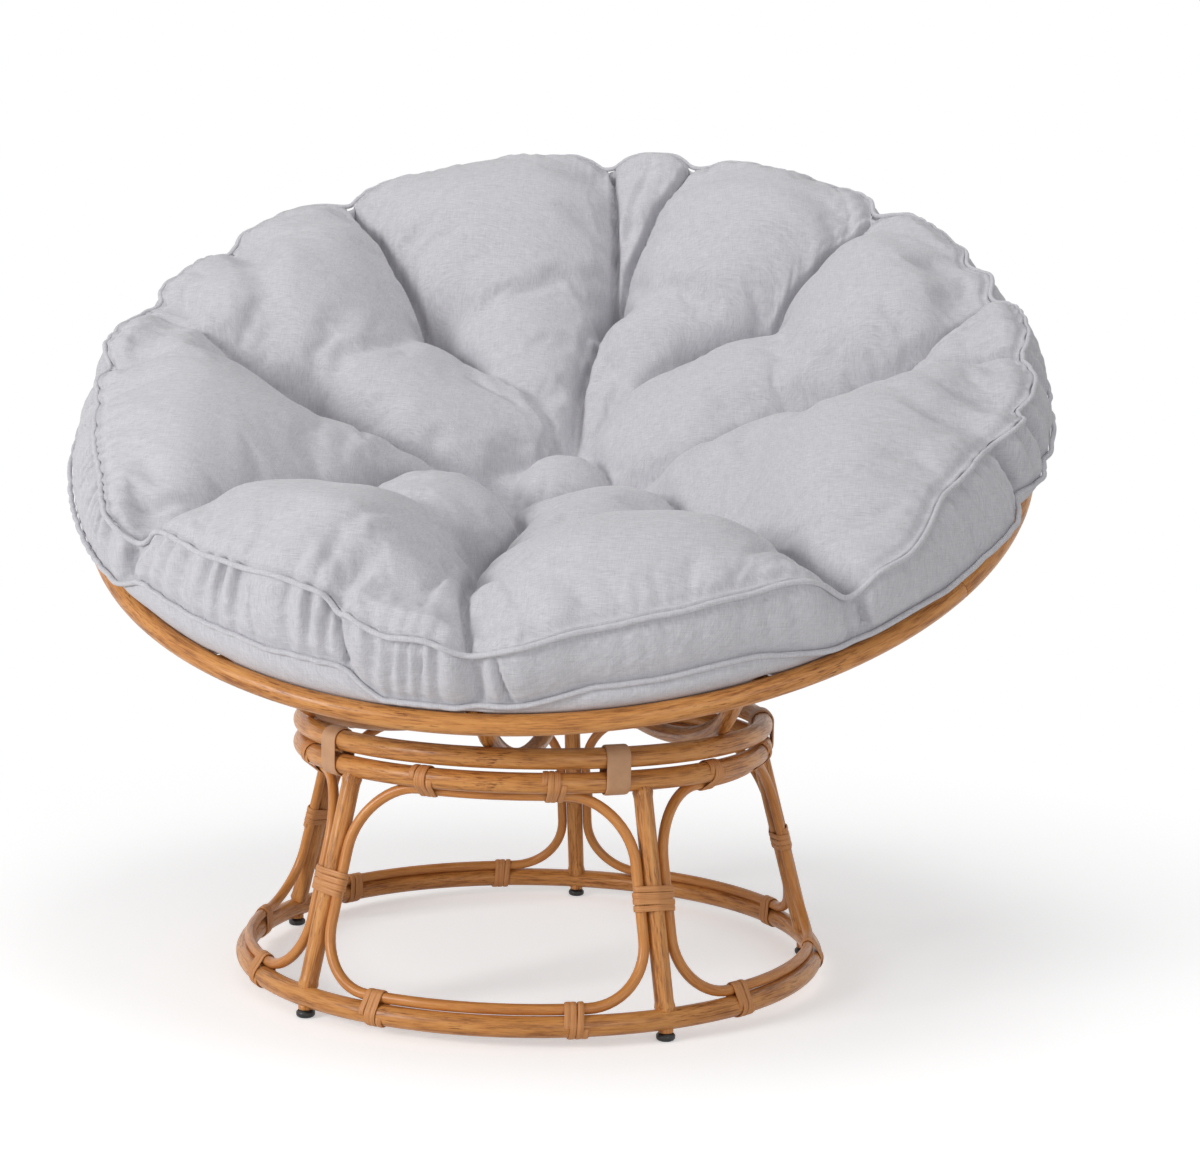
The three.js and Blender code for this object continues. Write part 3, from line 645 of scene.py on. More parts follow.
# Bowl ribs
# One long spine rib from the rim's front to its back and three pairs of side ribs, in 19 mm tube.
# They are welded to a round plate at the bottom, cross the foot ring and run out to the rim.
rim_radius = 0.519
rim_tilt = math.radians(27.35)
ball_drop = 0.2917
rim_step = 0.018
rib_r = 0.0095
rib_flat = 0.010
rest_gap = 0.0003
ring_facet = math.pi / 8
hub_r = 0.050
hub_thickness = 0.006
hub_edge = 0.001
bowl_across = Vector((1, 0, 0))
bowl_back = Vector((0, math.cos(rim_tilt), math.sin(rim_tilt)))
bowl_up = Vector((0, -math.sin(rim_tilt), math.cos(rim_tilt)))
rim_turn = math.atan2(rim_radius, ball_drop)
rim_reach = math.hypot(rim_radius, ball_drop)
rib_ball = rim_reach - rim_step
foot_ring_reach = rib_ball + rib_r + rest_gap + ring_r * math.cos(ring_facet)
ball_height = foot_ring_height + math.sqrt(foot_ring_reach ** 2 - top_ring_radius ** 2)
rim_centre = stand_axis + vertical * ball_height - bowl_up * ball_drop
hub_turn = math.asin(hub_r / rib_ball)
flat_turn = math.radians(15)
rib_flare = 0.86
side_ribs = {
    "front_right": 32, "right": 90, "back_right": 148,
    "back_left": 212, "left": 270, "front_left": 328,
}


# A place in the bowl: a distance and an angle round its axis, and a height over the rim's plane.
def in_bowl(distance, angle, height):
    return (rim_centre + bowl_across * (distance * math.sin(angle))
            - bowl_back * (distance * math.cos(angle)) + bowl_up * height)


# Where a rib crosses the foot ring, as a turn from the bottom of the ball that the ribs lie on.
def crossing_turn(angle):
    level, slope = math.cos(rim_tilt), math.cos(angle) * math.sin(rim_tilt)
    drop = (ball_height - foot_ring_height) / foot_ring_reach / math.hypot(level, slope)
    return max(math.atan2(slope, level) + math.acos(min(drop, 1.0)), 0.0)


def rib_body_reach(turn, start):
    span = rim_turn - start
    share = min(max((turn - start) / span, 0.0), 1.0)
    return rib_ball - rib_flat * min(1.0, span / flat_turn) * math.sin(math.pi * share) ** 2


def smooth_share(value):
    value = min(max(value, 0.0), 1.0)
    return value * value * (3 - 2 * value)


# A rib's middle line. Near the rim it flares out to meet it.
def rib_place(angle, turn):
    start = crossing_turn(angle)
    flare = smooth_share(((turn - start) / (rim_turn - start) - rib_flare) / (1 - rib_flare))
    reach = rib_body_reach(turn, start) + (rim_reach - rib_ball) * flare
    return in_bowl(reach * math.sin(turn), angle, ball_drop - reach * math.cos(turn))


def rib_piece(name, angle):
    side = bowl_across * math.cos(angle) + bowl_back * math.sin(angle)
    steps = 64
    turns = [hub_turn + (rim_turn - hub_turn) * i / steps for i in range(steps + 1)]
    return drawn_tube(name, [rib_place(angle, turn) for turn in turns], side, rib_r)


def spine_piece():
    steps = 72
    turns = [rim_turn * (i / steps * 2 - 1) for i in range(steps + 1)]
    centres = [rib_place(0 if turn >= 0 else math.pi, abs(turn)) for turn in turns]
    return drawn_tube("spine_tube", centres, bowl_across, rib_r)


def hub_piece():
    pole = in_bowl(0, 0, ball_drop - rib_ball)
    half = hub_thickness / 2
    centres = [pole + bowl_up * up for up in (-half, hub_edge - half, half - hub_edge, half)]
    radii = [hub_r - hub_edge, hub_r, hub_r, hub_r - hub_edge]
    return drawn_tube("hub_plate", centres, bowl_across, radii, 48)


steel(join_pieces("spine_rib_tube", [spine_piece(), hub_piece()]), "spine_rib")
for rib_name, degrees in side_ribs.items():
    steel(rib_piece(f"rib_tube_{rib_name}", math.radians(degrees)), f"rib_{rib_name}")

# Rim
# The bowl's 21 mm rim comes in two halves. The back half's ends are swaged down and slide into
# the front half's open ends, which leaves a fine seam at each side.
rim_seam_angle = math.radians(60)
seam_gap = 0.0004
seam_chamfer = 0.0012
seam_depth = 0.0009


def rim_half(name, start, node):
    steps = 150
    first, last = start + seam_gap / rim_radius, start + math.pi - seam_gap / rim_radius
    chamfer = seam_chamfer / rim_radius
    turns = [first, first + chamfer * 0.3, first + chamfer]
    turns += [first + chamfer + (last - first - 2 * chamfer) * i / steps for i in range(1, steps)]
    turns += [last - chamfer, last - chamfer * 0.3, last]
    radii = [ring_r] * len(turns)
    radii[0] = radii[-1] = ring_r - seam_depth
    radii[1] = radii[-2] = ring_r - seam_depth / 3
    centres = [in_bowl(rim_radius, turn, 0) for turn in turns]
    return steel(drawn_tube(name, centres, bowl_up, radii, 28), node)


rim_half("rim_front_tube", rim_seam_angle - math.pi, "rim_front_half")
rim_half("rim_back_tube", rim_seam_angle, "rim_back_half")

# Cushion
# One round cushion, 1.1 m across, in light grey linen filled with loose fibre. Its top panel is
# drawn in by pleats at the edge and by sewn tufts, a gathered band joins it to the underside, and
# a corded seam runs round each edge.
cushion_edge_radius = 0.551
top_edge_radius = 0.524
gusset_height = 0.066
# The low seam is drawn in at the front, and both seams rise towards the back.
cushion_front_pull = 0.036
back_lift = 0.064
# The band swells out, dips in beside its seams and is drawn in at the pinches.
gusset_bulge = 0.007
beside_seam = 0.0036
band_pinch = 0.018
low_seam_pinch = 0.008
piping_r = 0.0028
# The corded seam of the solid, which the seat's height follows, is thicker.
solid_piping_r = 0.0036
seat_height = ring_r + rest_gap + solid_piping_r + rest_gap
# The pleats between the petals of the top panel: how deep the fold is, how far it pulls the seam in
# and down, how softly it runs out at the edge and towards the middle, how deep its tuft is sewn,
# then its way from the edge to the middle in pairs of a share of the edge's radius and an angle
# round the bowl. The second point is the tuft.
pleats = [
    (0.018, 0.016, 0.007, 0.3, 1.0, 0.044, [(1.0, -140), (0.58, -140), (0.36, -146), (0.14, -158)]),
    (0.004, 0.008, 0.004, 0.85, 0.45, 0.036, [(1.0, -101), (0.60, -98), (0.36, -88), (0.20, -84)]),
    (0.010, 0.010, 0.026, 0.0, 0.3, 0.022, [(1.0, -48), (0.53, -50), (0.36, -66), (0.20, -76)]),
    (0.012, 0.010, 0.010, 0.6, 0.1, 0.032, [(1.0, 1), (0.52, -8), (0.33, -4), (0.16, -30)]),
    (0.010, 0.006, 0.027, 0.0, 0.4, 0.024, [(1.0, 42), (0.50, 42), (0.33, 52), (0.16, 66)]),
    (0.007, 0.012, 0.006, 0.5, 0.5, 0.036, [(1.0, 94), (0.67, 98), (0.50, 102), (0.20, 85)]),
    (0.009, 0.016, 0.008, 0.3, 0.5, 0.036, [(1.0, 110), (0.67, 98), (0.50, 102), (0.20, 85)]),
    (0.016, 0.024, 0.010, 0.2, 0.7, 0.040, [(1.0, 137), (0.62, 137), (0.31, 157), (0.14, 166)]),
    (0.015, 0.014, 0.010, 0.4, 0.15, 0.050, [(1.0, 168), (0.57, 176), (0.31, 181), (0.14, 178)]),
    (0.018, 0.018, 0.010, 0.4, 0.15, 0.050, [(1.0, 181), (0.57, 176), (0.31, 181), (0.14, 178)]),
]
pleat_paths = [pleat[-1] for pleat in pleats]
# Short tucks that only pull the seam and the band: an angle, the pull in and down, and the width.
# A pinch is full where the seam is pulled in this far.
pinch_width, full_pinch = 0.024, 0.024
edge_tucks = [
    (-15, 0.004, 0.012, 0.011), (-88, 0.012, 0.006, 0.02), (-104, 0.014, 0.006, 0.02),
    (-120, 0.010, 0.005, 0.02), (62, 0.004, 0.005, 0.02), (74, 0.008, 0.006, 0.02),
    (82, 0.014, 0.006, 0.02), (118, 0.012, 0.006, 0.02),
]
# Height of the pleats over the rim's plane at a share of the radius, at the front and the back.
valley_shares = [0.0, 0.14, 0.34, 0.56, 0.78, 1.0]
valley_front = [-0.064, -0.060, -0.018, -0.002, 0.036, 0.078]
valley_back = [-0.064, -0.060, -0.030, 0.012, 0.076, 0.142]
# How far a petal's crown stands over its pleats.
crown_shares = [0.0, 0.12, 0.22, 0.34, 0.46, 0.58, 0.70, 0.82, 0.92, 0.97, 1.0]
crown_rises = [0.0, 0.012, 0.038, 0.052, 0.054, 0.056, 0.070, 0.066, 0.040, 0.018, 0.0]
tuft_width = 0.028
# A seam's own unevenness: a height, how many times it comes round and a shift.
top_seam_waves = [(0.0022, 11, 1.1), (0.0018, 19, 0.4), (0.001, 43, 0.0)]
low_seam_waves = [(0.002, 9, 0.7), (0.0012, 23, 0.0)]
# The gathers: how many, the places of their pattern, and their depth at each seam and in the band.
gather_count, gather_seed = 118, 1.0
low_gather, top_gather, top_pucker, band_fold = 0.0016, 0.0018, 0.0012, 0.006
# The small lobe that fills the middle.
middle_lobe_radius, middle_lobe_top, middle_lobe_drop = 0.085, -0.026, 0.055
# How fine the nets are.
rings = 84
columns = 8 * rings
gusset_rings = 12


# Places in the rim's plane, at an angle and a distance from the middle.
def on_plane(angle, distance):
    return np.stack([np.sin(angle) * distance, -np.cos(angle) * distance], -1)


# The way from a pleat's tuft to each point.
def from_tuft(points, path):
    share, degrees = path[1]
    return points - on_plane(math.radians(degrees), share * top_edge_radius)


def smooth_step(value, low, high):
    share = np.clip((value - low) / (high - low), 0, 1)
    return share * share * (3 - 2 * share)


def turn_between(a, b):
    return np.arctan2(np.sin(a - b), np.cos(a - b))


# 1 within a stretch of the edge, running out softly on both sides of it.
def stretch(angle, middle, half, soft):
    apart = np.degrees(np.abs(turn_between(angle, math.radians(middle))))
    return 1 - smooth_step(apart, half - soft, half + soft)


# How far the pleats and tucks pull the seam at an angle: kind 1 is inwards, 2 is down.
def pulled(angle, kind, narrow=1.0):
    amount = np.zeros_like(angle)
    pulls = [(pleat[-1][0][1], pleat[1], pleat[2], pinch_width) for pleat in pleats] + edge_tucks
    for pull in pulls:
        apart = np.abs(turn_between(angle, math.radians(pull[0]))) * top_edge_radius
        amount = np.maximum(amount, pull[kind] * np.exp(-((apart / (pull[3] * narrow)) ** 2)))
    return amount


def pinch(angle, narrow):
    return np.minimum(pulled(angle, 1, narrow) / full_pinch, 1)


# How strongly the band is gathered: slack at the left and the right, nearly plain at the front
# right.
def gathering(angle):
    places = [0, 6, 55, 76, 130, 180, 230, 262, 310, 345, 354, 360]
    amounts = [0.45, 0.1, 0.1, 1.0, 0.9, 0.6, 0.8, 1.0, 1.0, 1.0, 0.9, 0.45]
    return np.interp(np.degrees(angle) % 360, places, amounts)


def waves(angle, table):
    return sum(size * np.sin(times * angle + shift) for size, times, shift in table)


# Small folds with no even spacing, 0 in a fold and 1 on the swell between two.
def fold_pattern(angle, count, seed):
    drift = waves(angle, [(2.1, 7, seed), (1.3, 13, 2 * seed), (0.9, 29, 3 * seed)])
    return np.abs(np.sin(count / 2 * angle + drift))


# The gathers of the band, in and out of a line by a depth.
def gathers(angle, depth, level=0.6):
    return depth * gathering(angle) * (fold_pattern(angle, gather_count, gather_seed) - level)


def gather_creases(angle, shift=0.0):
    return gathering(angle) * (1 - fold_pattern(angle + shift, gather_count, gather_seed)) ** 1.5


# Where a full petal carries its seam in and up: the middle of the stretch, half its length, how
# softly it ends, how far in and how far up.
top_swells = [
    (-30, 17.5, 5, 0.031, 0.018), (-22, 7, 6, 0.002, 0.014), (-7, 5, 3, 0.010, 0.009),
    (23.5, 15, 7, 0.019, 0.017), (65, 10, 6, 0.027, 0.002), (-70, 14, 8, 0.020, -0.003),
]
low_swells = [
    (-29.5, 17.5, 3, 0.008, 0.024), (22, 13, 5, 0.006, 0.017), (74.5, 2.5, 2.5, 0.014, 0.003),
]


def swollen(angle, swells, kind):
    return sum(full[kind] * stretch(angle, *full[:3]) for full in swells)


# 0 at the front of the bowl and 1 at its back.
def back_share(angle):
    return (1 - np.cos(angle)) / 2


def low_seam_height(angle):
    base = seat_height + back_lift * back_share(angle)
    return base + swollen(angle, low_swells, 4) + np.abs(waves(angle, low_seam_waves))


def low_seam_radius(angle):
    radius = cushion_edge_radius - cushion_front_pull * (1 - back_share(angle)) ** 3
    pulls = low_seam_pinch * pinch(angle, 0.6) + swollen(angle, low_swells, 3)
    return radius - pulls + gathers(angle, low_gather)


def top_seam_height(angle):
    base = seat_height + back_lift * back_share(angle) + gusset_height
    lift = waves(angle, top_seam_waves) + swollen(angle, top_swells, 4)
    return base + lift + gathers(angle, top_pucker) - pulled(angle, 2)


def top_seam_radius(angle):
    pulls = swollen(angle, top_swells, 3) + pulled(angle, 1)
    return top_edge_radius - pulls + gathers(angle, top_gather)


# Where a pleat runs at a share of the radius.
def pleat_angle(path, share):
    shares = [place[0] for place in reversed(path)]
    angles = [place[1] for place in reversed(path)]
    return np.radians(np.interp(share, shares, angles))


# A table's line with its corners softened.
def curve_through(places, values, share):
    sides = [np.interp(share + step, places, values) for step in (-0.03, -0.015, 0, 0.015, 0.03)]
    return sum(sides) / len(sides)


def valley_height(angle, share):
    front_line = curve_through(valley_shares, valley_front, share)
    back_line = curve_through(valley_shares, valley_back, share)
    return front_line + (back_line - front_line) * back_share(angle)


# Height of the top panel over the rim's plane before the filling swells it.
def panel_height(angle, share):
    bounds = np.stack([pleat_angle(path, share) for path in pleat_paths])
    turned = np.mod(angle - bounds, 2 * np.pi)
    turned_back = np.mod(-turned, 2 * np.pi)
    past, ahead = np.min(turned, axis=0), np.min(turned_back, axis=0)
    across = past / np.maximum(past + ahead, 1e-6)
    softness = np.array([pleat[3] for pleat in pleats])
    inner_softness = np.array([pleat[4] for pleat in pleats])
    first, last = np.argmin(turned, axis=0), np.argmin(turned_back, axis=0)
    soft = softness[first] * (1 - across) + softness[last] * across
    inner_soft = inner_softness[first] * (1 - across) + inner_softness[last] * across
    width = (past + ahead) * share * top_edge_radius
    profile = (1 - np.abs(2 * across - 1) ** 2.4) ** 0.55
    profile = 1 - (1 - profile) * (1 - soft * smooth_step(share, 0.7, 0.95))
    profile = 1 - (1 - profile) * (1 - inner_soft * (1 - smooth_step(share, 0.28, 0.52)))
    rise = curve_through(crown_shares, crown_rises, share) * np.minimum(1, width / 0.12) ** 0.8
    tuck = smooth_step(share, 0.8, 1.0) * (1 - pinch(angle, 1.3))
    rise = rise * (1 - smooth_step(share, 0.8, 0.95) + tuck)
    height = valley_height(angle, share) + rise * profile
    lift = swollen(angle, top_swells, 4)
    seam_step = top_seam_height(angle) - valley_height(angle, np.ones_like(share)) - lift
    height = height + seam_step * smooth_step(share, 0.85, 1) + lift * smooth_step(share, 0.4, 0.85)
    points = on_plane(angle, top_edge_radius * share)
    dip = np.zeros_like(height)
    for *_, tuft_depth, path in pleats:
        away = np.linalg.norm(from_tuft(points, path), axis=1)
        dip = np.maximum(dip, tuft_depth * np.exp(-((away / tuft_width) ** 2)))
    lobe = middle_lobe_top - middle_lobe_drop * (top_edge_radius * share / middle_lobe_radius) ** 2
    return np.maximum(height - dip, lobe)


# A square net laid on a disc: ring k holds 8 k points, evenly spaced, starting at the front.
def disc_net(count):
    index, share, angle = {}, [], []
    for i in range(-count, count + 1):
        for j in range(-count, count + 1):
            k = max(abs(i), abs(j))
            if j == -k:
                m = i % max(8 * k, 1)
            elif i == k:
                m = 2 * k + j
            elif j == k:
                m = 4 * k - i
            else:
                m = 6 * k - j
            index[i, j] = len(share)
            share.append(k / count)
            angle.append(2 * math.pi * m / max(8 * k, 1))
    faces = []
    for i in range(-count, count):
        for j in range(-count, count):
            faces.append((index[i, j], index[i + 1, j], index[i + 1, j + 1], index[i, j + 1]))
    edge = [0] * (8 * count)
    for (i, j), at in index.items():
        if max(abs(i), abs(j)) == count:
            edge[round(angle[at] / (2 * math.pi) * len(edge)) % len(edge)] = at
    return np.array(share), np.array(angle), faces, edge


bowl_axes = np.array([bowl_across, bowl_back, bowl_up])


def bowl_points(radius, angle, height):
    local = np.stack([radius * np.sin(angle), -radius * np.cos(angle), height], 1)
    return np.array(rim_centre) + local @ bowl_axes


# The band between the seams, from 0 at the low one to 1 at the top one.
def gusset_places(share, angle):
    low_radius, top_radius = low_seam_radius(angle) - piping_r, top_seam_radius(angle) - piping_r
    bulge = 4 * share * (1 - share) * (gusset_bulge - band_pinch * pinch(angle, 0.4))
    folds = 1.5 * share ** 0.6 * (1 - share) ** 0.25 * gathers(angle, band_fold, 0.7)
    near_top = np.exp(-(((1 - share) / 0.1) ** 2)) * (share < 1)
    near_low = np.exp(-((share / 0.1) ** 2)) * (share > 0)
    radius = low_radius + (top_radius - low_radius) * share + bulge + folds
    low, high = low_seam_height(angle), top_seam_height(angle)
    return radius - beside_seam * (near_top + near_low), low + (high - low) * share


# The underside lies on the ribs, comes up inside the rim and passes over it. Each place on the two
# ways past the rim is a distance and a height from the middle of its plane.
level_turn = math.acos(ball_drop / (rib_ball - rib_r))
under_rings = rings // 2
beside_ribs = [(0.4872, -0.004), (0.4975, -0.0105), (0.5055, -0.0065), (0.5078, 0.0005),
               (0.5092, 0.0066), (0.5135, 0.0098)]
over_ribs = [(0.4872, 0.0005), (0.4905, 0.0056), (0.4985, 0.0102), (0.5050, 0.0106),
             (0.5090, 0.0106), (0.5135, 0.0104)]
# Its bottom is hollowed a little at the front. Past the rim it bulges by a share of its way, less
# where the seam lies low.
front_hollow = 0.015
under_bulge, under_bulge_wave = 0.15, 0.05
low_seam_limit, low_bulge_share = 0.03, 0.3
over_rib_reach, clear_of_rib = 0.0086, 0.0130


def underside_places(share, angle):
    low_radius, low_height = low_seam_radius(angle) - piping_r, low_seam_height(angle)
    rib_angles = np.radians([0, 180, *side_ribs.values()])
    from_rib = np.min([np.abs(turn_between(angle, rib_angle)) for rib_angle in rib_angles], axis=0)
    free = smooth_step(from_rib * rim_radius, over_rib_reach, clear_of_rib)[:, None]
    ways = [np.array(over) * (1 - free) + np.array(beside) * free
            for over, beside in zip(over_ribs, beside_ribs)]
    end = np.stack([low_radius, low_height], 1)
    way = end - ways[-1]
    bulge = under_bulge + under_bulge_wave * np.sin(5 * angle)
    bulge = bulge * np.where(low_height < low_seam_limit, low_bulge_share, 1.0)
    out = np.stack([way[:, 1], -way[:, 0]], 1) * bulge[:, None]
    ways += [ways[-1] + way * 0.35 + out, ways[-1] + way * 0.7 + out, end]
    ways = np.stack(ways)
    level = 1 - (len(ways) - 1) / under_rings
    step = np.rint(np.clip((share - level) * under_rings, 0, len(ways) - 1)).astype(int)
    past = ways[step, np.arange(len(share))]
    radius, height = past[:, 0].copy(), past[:, 1].copy()
    for at in np.nonzero(share < level - 1e-6)[0]:
        part = share[at] / level
        turn = level_turn * part
        reach = rib_body_reach(turn, crossing_turn(angle[at])) - rib_r - rest_gap
        hollow = smooth_share((part - 0.05) / 0.35) * (1 - smooth_share((part - 0.85) / 0.15))
        reach -= front_hollow * smooth_share(0.5 + 0.9 * math.cos(angle[at])) * hollow
        radius[at], height[at] = reach * math.sin(turn), ball_drop - reach * math.cos(turn)
    return radius, height


def away_from_line(points, start, end):
    line = end - start
    share = np.clip(((points - start) @ line) / (line @ line), 0, 1)
    return np.linalg.norm(points - (start + share[:, None] * line), axis=1), share


# The distance of each point from a fold drawn on the top panel, and how far along the fold it is.
def away_from_path(points, path):
    line = np.linspace(path[-1][0], path[0][0], 40)
    places = on_plane(pleat_angle(path, line), line * top_edge_radius)
    away, along = np.full(len(points), 9.0), np.zeros(len(points))
    for at, (start, end) in enumerate(zip(places, places[1:])):
        near, share = away_from_line(points, start, end)
        along = np.where(near < away, (at + share) / (len(places) - 1), along)
        away = np.minimum(away, near)
    return away, along


# Where the stitches hold the cover: 1 at a seam or a tuft, falling to 0 where the filling swells.
pleat_hold, pleat_hold_width = 0.92, 0.010
band_hold, band_hold_fall = 0.6, 3


def stitch_hold(share, angle):
    points = on_plane(angle, top_edge_radius * share)
    hold = smooth_step(share, 0.975, 1.0)
    for _, _, _, _, inner_soft, _, path in pleats:
        away, _ = away_from_path(points, path)
        strength = pleat_hold * (1 - inner_soft * (1 - smooth_step(share, 0.28, 0.52)))
        hold = np.maximum(hold, strength * np.clip(1 - away / pleat_hold_width, 0, 1))
        away = np.linalg.norm(from_tuft(points, path), axis=1)
        hold = np.maximum(hold, np.clip(1.6 * (1 - away / tuft_width), 0, 1))
    return hold


# The cover swells over its filling between the stitches: a cloth that is pushed outwards from
# inside, with a little more fabric than it needs, so that it gathers where it is held.
filling_pressure, cover_slack = 4.0, -0.045
most_swell = 0.030
swell_steps = 20


def swell(places, faces, hold):
    cover = mesh_piece("cover_trial", places, faces)
    group = cover.vertex_groups.new(name="stitches")
    for at in np.nonzero(hold > 0)[0]:
        group.add([int(at)], float(hold[at]), "REPLACE")
    cloth = cover.modifiers.new("filling", "CLOTH")
    linen_cloth = {
        "quality": 5, "mass": 0.3, "tension_stiffness": 20, "compression_stiffness": 8,
        "shear_stiffness": 8, "bending_stiffness": 0.2, "use_pressure": True,
        "uniform_pressure_force": filling_pressure, "shrink_min": cover_slack,
        "vertex_group_mass": "stitches", "pin_stiffness": 1,
    }
    for label, value in linen_cloth.items():
        setattr(cloth.settings, label, value)
    cloth.settings.effector_weights.gravity = 0
    cloth.collision_settings.use_collision = False
    for step in range(1, swell_steps + 1):
        bpy.context.scene.frame_set(step)
    shaped = cover.evaluated_get(bpy.context.evaluated_depsgraph_get())
    moved = np.array([v.co for v in shaped.data.vertices])
    bpy.context.scene.frame_set(1)
    bpy.data.objects.remove(cover)
    step = moved - places
    length = np.linalg.norm(step, axis=1)
    return places + step * np.minimum(1, most_swell / np.maximum(length, 1e-9))[:, None]


# Soft dents and short folds besides the pleats: depth, width and the two ends.
small_folds = [
    (0.012, 0.045, [(0.95, -122), (0.78, -113), (0.60, -99)]),
    (0.004, 0.018, [(0.96, -17), (0.80, -19), (0.62, -14)]),
    (0.005, 0.010, [(0.92, -6), (0.78, -6), (0.60, -9)]),
    (0.006, 0.012, [(0.94, 7), (0.80, 3), (0.66, -4)]),
    (0.006, 0.014, [(0.86, 104), (0.76, 103), (0.68, 99)]),
    (0.006, 0.012, [(0.98, 103), (0.86, 102), (0.74, 99)]),
    (0.008, 0.011, [(0.60, 138), (0.45, 149), (0.36, 154), (0.30, 157)]),
    (0.012, 0.011, [(0.62, 177), (0.44, 181), (0.31, 182), (0.10, 178)]),
    (0.009, 0.011, [(0.62, -140), (0.46, -143), (0.38, -145), (0.33, -147)]),
    (0.006, 0.012, [(0.90, 32), (0.84, 38), (0.80, 42)]),
    (0.006, 0.012, [(0.96, -54), (0.88, -52), (0.78, -50)]),
    (0.005, 0.010, [(0.34, -134), (0.26, -140), (0.20, -150)]),
    (0.005, 0.014, [(0.97, 174), (0.84, 175), (0.66, 176)]),
    (0.006, 0.010, [(0.26, 40), (0.20, 62), (0.17, 84)]),
    (0.006, 0.010, [(0.24, -50), (0.17, -40), (0.12, -10)]),
]


# Where the band is folded in from seam to seam: an angle, the depth and half the width.
band_creases = [
    (-48, 0.013, 0.010), (-36, 0.004, 0.006), (-26, 0.004, 0.006), (-14.5, 0.017, 0.008),
    (3.5, 0.010, 0.008), (43, 0.013, 0.010), (74, 0.010, 0.008),
]
crease_slant = math.radians(1.5)
pleat_fold_width, pleat_fold_depth = 0.0085, 1.35
seam_groove, seam_pucker, tuft_pucker, pinch_pucker = 0.0036, 0.0020, 0.0022, 0.0022
pinch_crease, band_gather = 0.012, 0.0072
tuft_reach = 0.022


# The folds and creases of the top panel, the wrinkles round its tufts and the puckers along its
# seam, as a depth. The part is the share of the way from the middle to the seam.
def top_folds(points, angle, part):
    depth = np.zeros(len(points))
    for fold_depth, _, _, _, inner_soft, _, path in pleats:
        away, along = away_from_path(points, path)
        width = pleat_fold_width * (1 - 0.4 * along)
        ends = smooth_step(along, 0.3 * inner_soft, 0.3 * inner_soft + 0.2)
        wedge = np.clip(1 - away / width, 0, 1) ** 1.2
        depth = np.maximum(depth, pleat_fold_depth * fold_depth * ends * wedge)
    for fold_depth, width, path in small_folds:
        away, along = away_from_path(points, path)
        ends = smooth_step(along, 0.0, 0.3) * (1 - 0.7 * smooth_step(along, 0.75, 1.0))
        depth = np.maximum(depth, fold_depth * ends * np.exp(-((away / (width * 0.5)) ** 2)))
    for seed, path in enumerate(pleat_paths):
        way = from_tuft(points, path)
        away = np.linalg.norm(way, axis=1)
        spoke = np.abs(np.sin(3.5 * np.arctan2(way[:, 0], way[:, 1]) + 1.7 * seed + 14 * away))
        reach = np.exp(-(((away - tuft_reach) / tuft_reach) ** 2))
        depth = depth + tuft_pucker * reach * (1 - spoke) ** 2
    groove = np.clip((part - 0.978) / 0.008, 0, 1) * np.clip((1 - part) / 0.004, 0, 1)
    seam_reach = np.exp(-np.clip(1 - part, 0, 1) / 0.045) * np.clip((1 - part) / 0.012, 0, 1)
    depth = depth + seam_groove * groove + seam_pucker * gather_creases(angle) * seam_reach
    near_pinch = np.clip(pinch(angle, 2.0) - pinch(angle, 0.35), 0, 1)
    streaks = (1 - fold_pattern(angle, 260, 4.0)) ** 2 * smooth_step(part, 0.72, 0.9)
    return depth + pinch_pucker * near_pinch * streaks * (part < 1)


# The creases and gathers of the band, as a depth. The low share is 0 at the low seam.
def band_folds(angle, low_share):
    crease = pinch_crease * pinch(angle, 0.22)
    for turn, fold_depth, half in band_creases:
        slanted = angle + crease_slant * (low_share - 0.5)
        away = np.abs(turn_between(slanted, math.radians(turn))) * top_edge_radius
        crease = np.maximum(crease, fold_depth * np.clip(1 - away / half, 0, 1) ** 1.5)
    crease = crease * np.clip(6 * low_share * (1 - low_share), 0, 1)
    reach = smooth_step(low_share, 0.05, 0.75) * np.clip((1 - low_share) / 0.06, 0, 1)
    uneven = 0.35 + 0.65 * np.sin(9 * angle + 1.4 * np.sin(17 * angle) + 0.6) ** 2
    creased = gather_creases(angle, 0.010 * low_share * np.sin(11 * angle))
    return crease + band_gather * creased * uneven * reach


# The folds are pressed into the cover after the filling has shaped it. The top panel is pressed
# mostly straight down, so that the walls of a pleat don't cross.
def press_folds(mesh):
    count = len(mesh.vertices)
    places, normals, part = np.empty(count * 3), np.empty(count * 3), np.empty(count)
    mesh.vertices.foreach_get("co", places)
    mesh.vertices.foreach_get("normal", normals)
    mesh.attributes["part"].data.foreach_get("value", part)
    places, normals = places.reshape(-1, 3), normals.reshape(-1, 3)
    points = ((places - np.array(rim_centre)) @ bowl_axes.T)[:, :2]
    angle = np.arctan2(points[:, 0], -points[:, 1])
    down = 0.25 * normals + 0.75 * np.array(bowl_up)
    down = down / np.linalg.norm(down, axis=1)[:, None]
    top, band = part <= 1.0, (part > 1.0) & (part < 2.0)
    places = places - down * (top_folds(points, angle, part) * top)[:, None]
    places = places - normals * (band_folds(angle, 2 - part) * band)[:, None]
    mesh.vertices.foreach_set("co", places.reshape(-1))
    mesh.update()


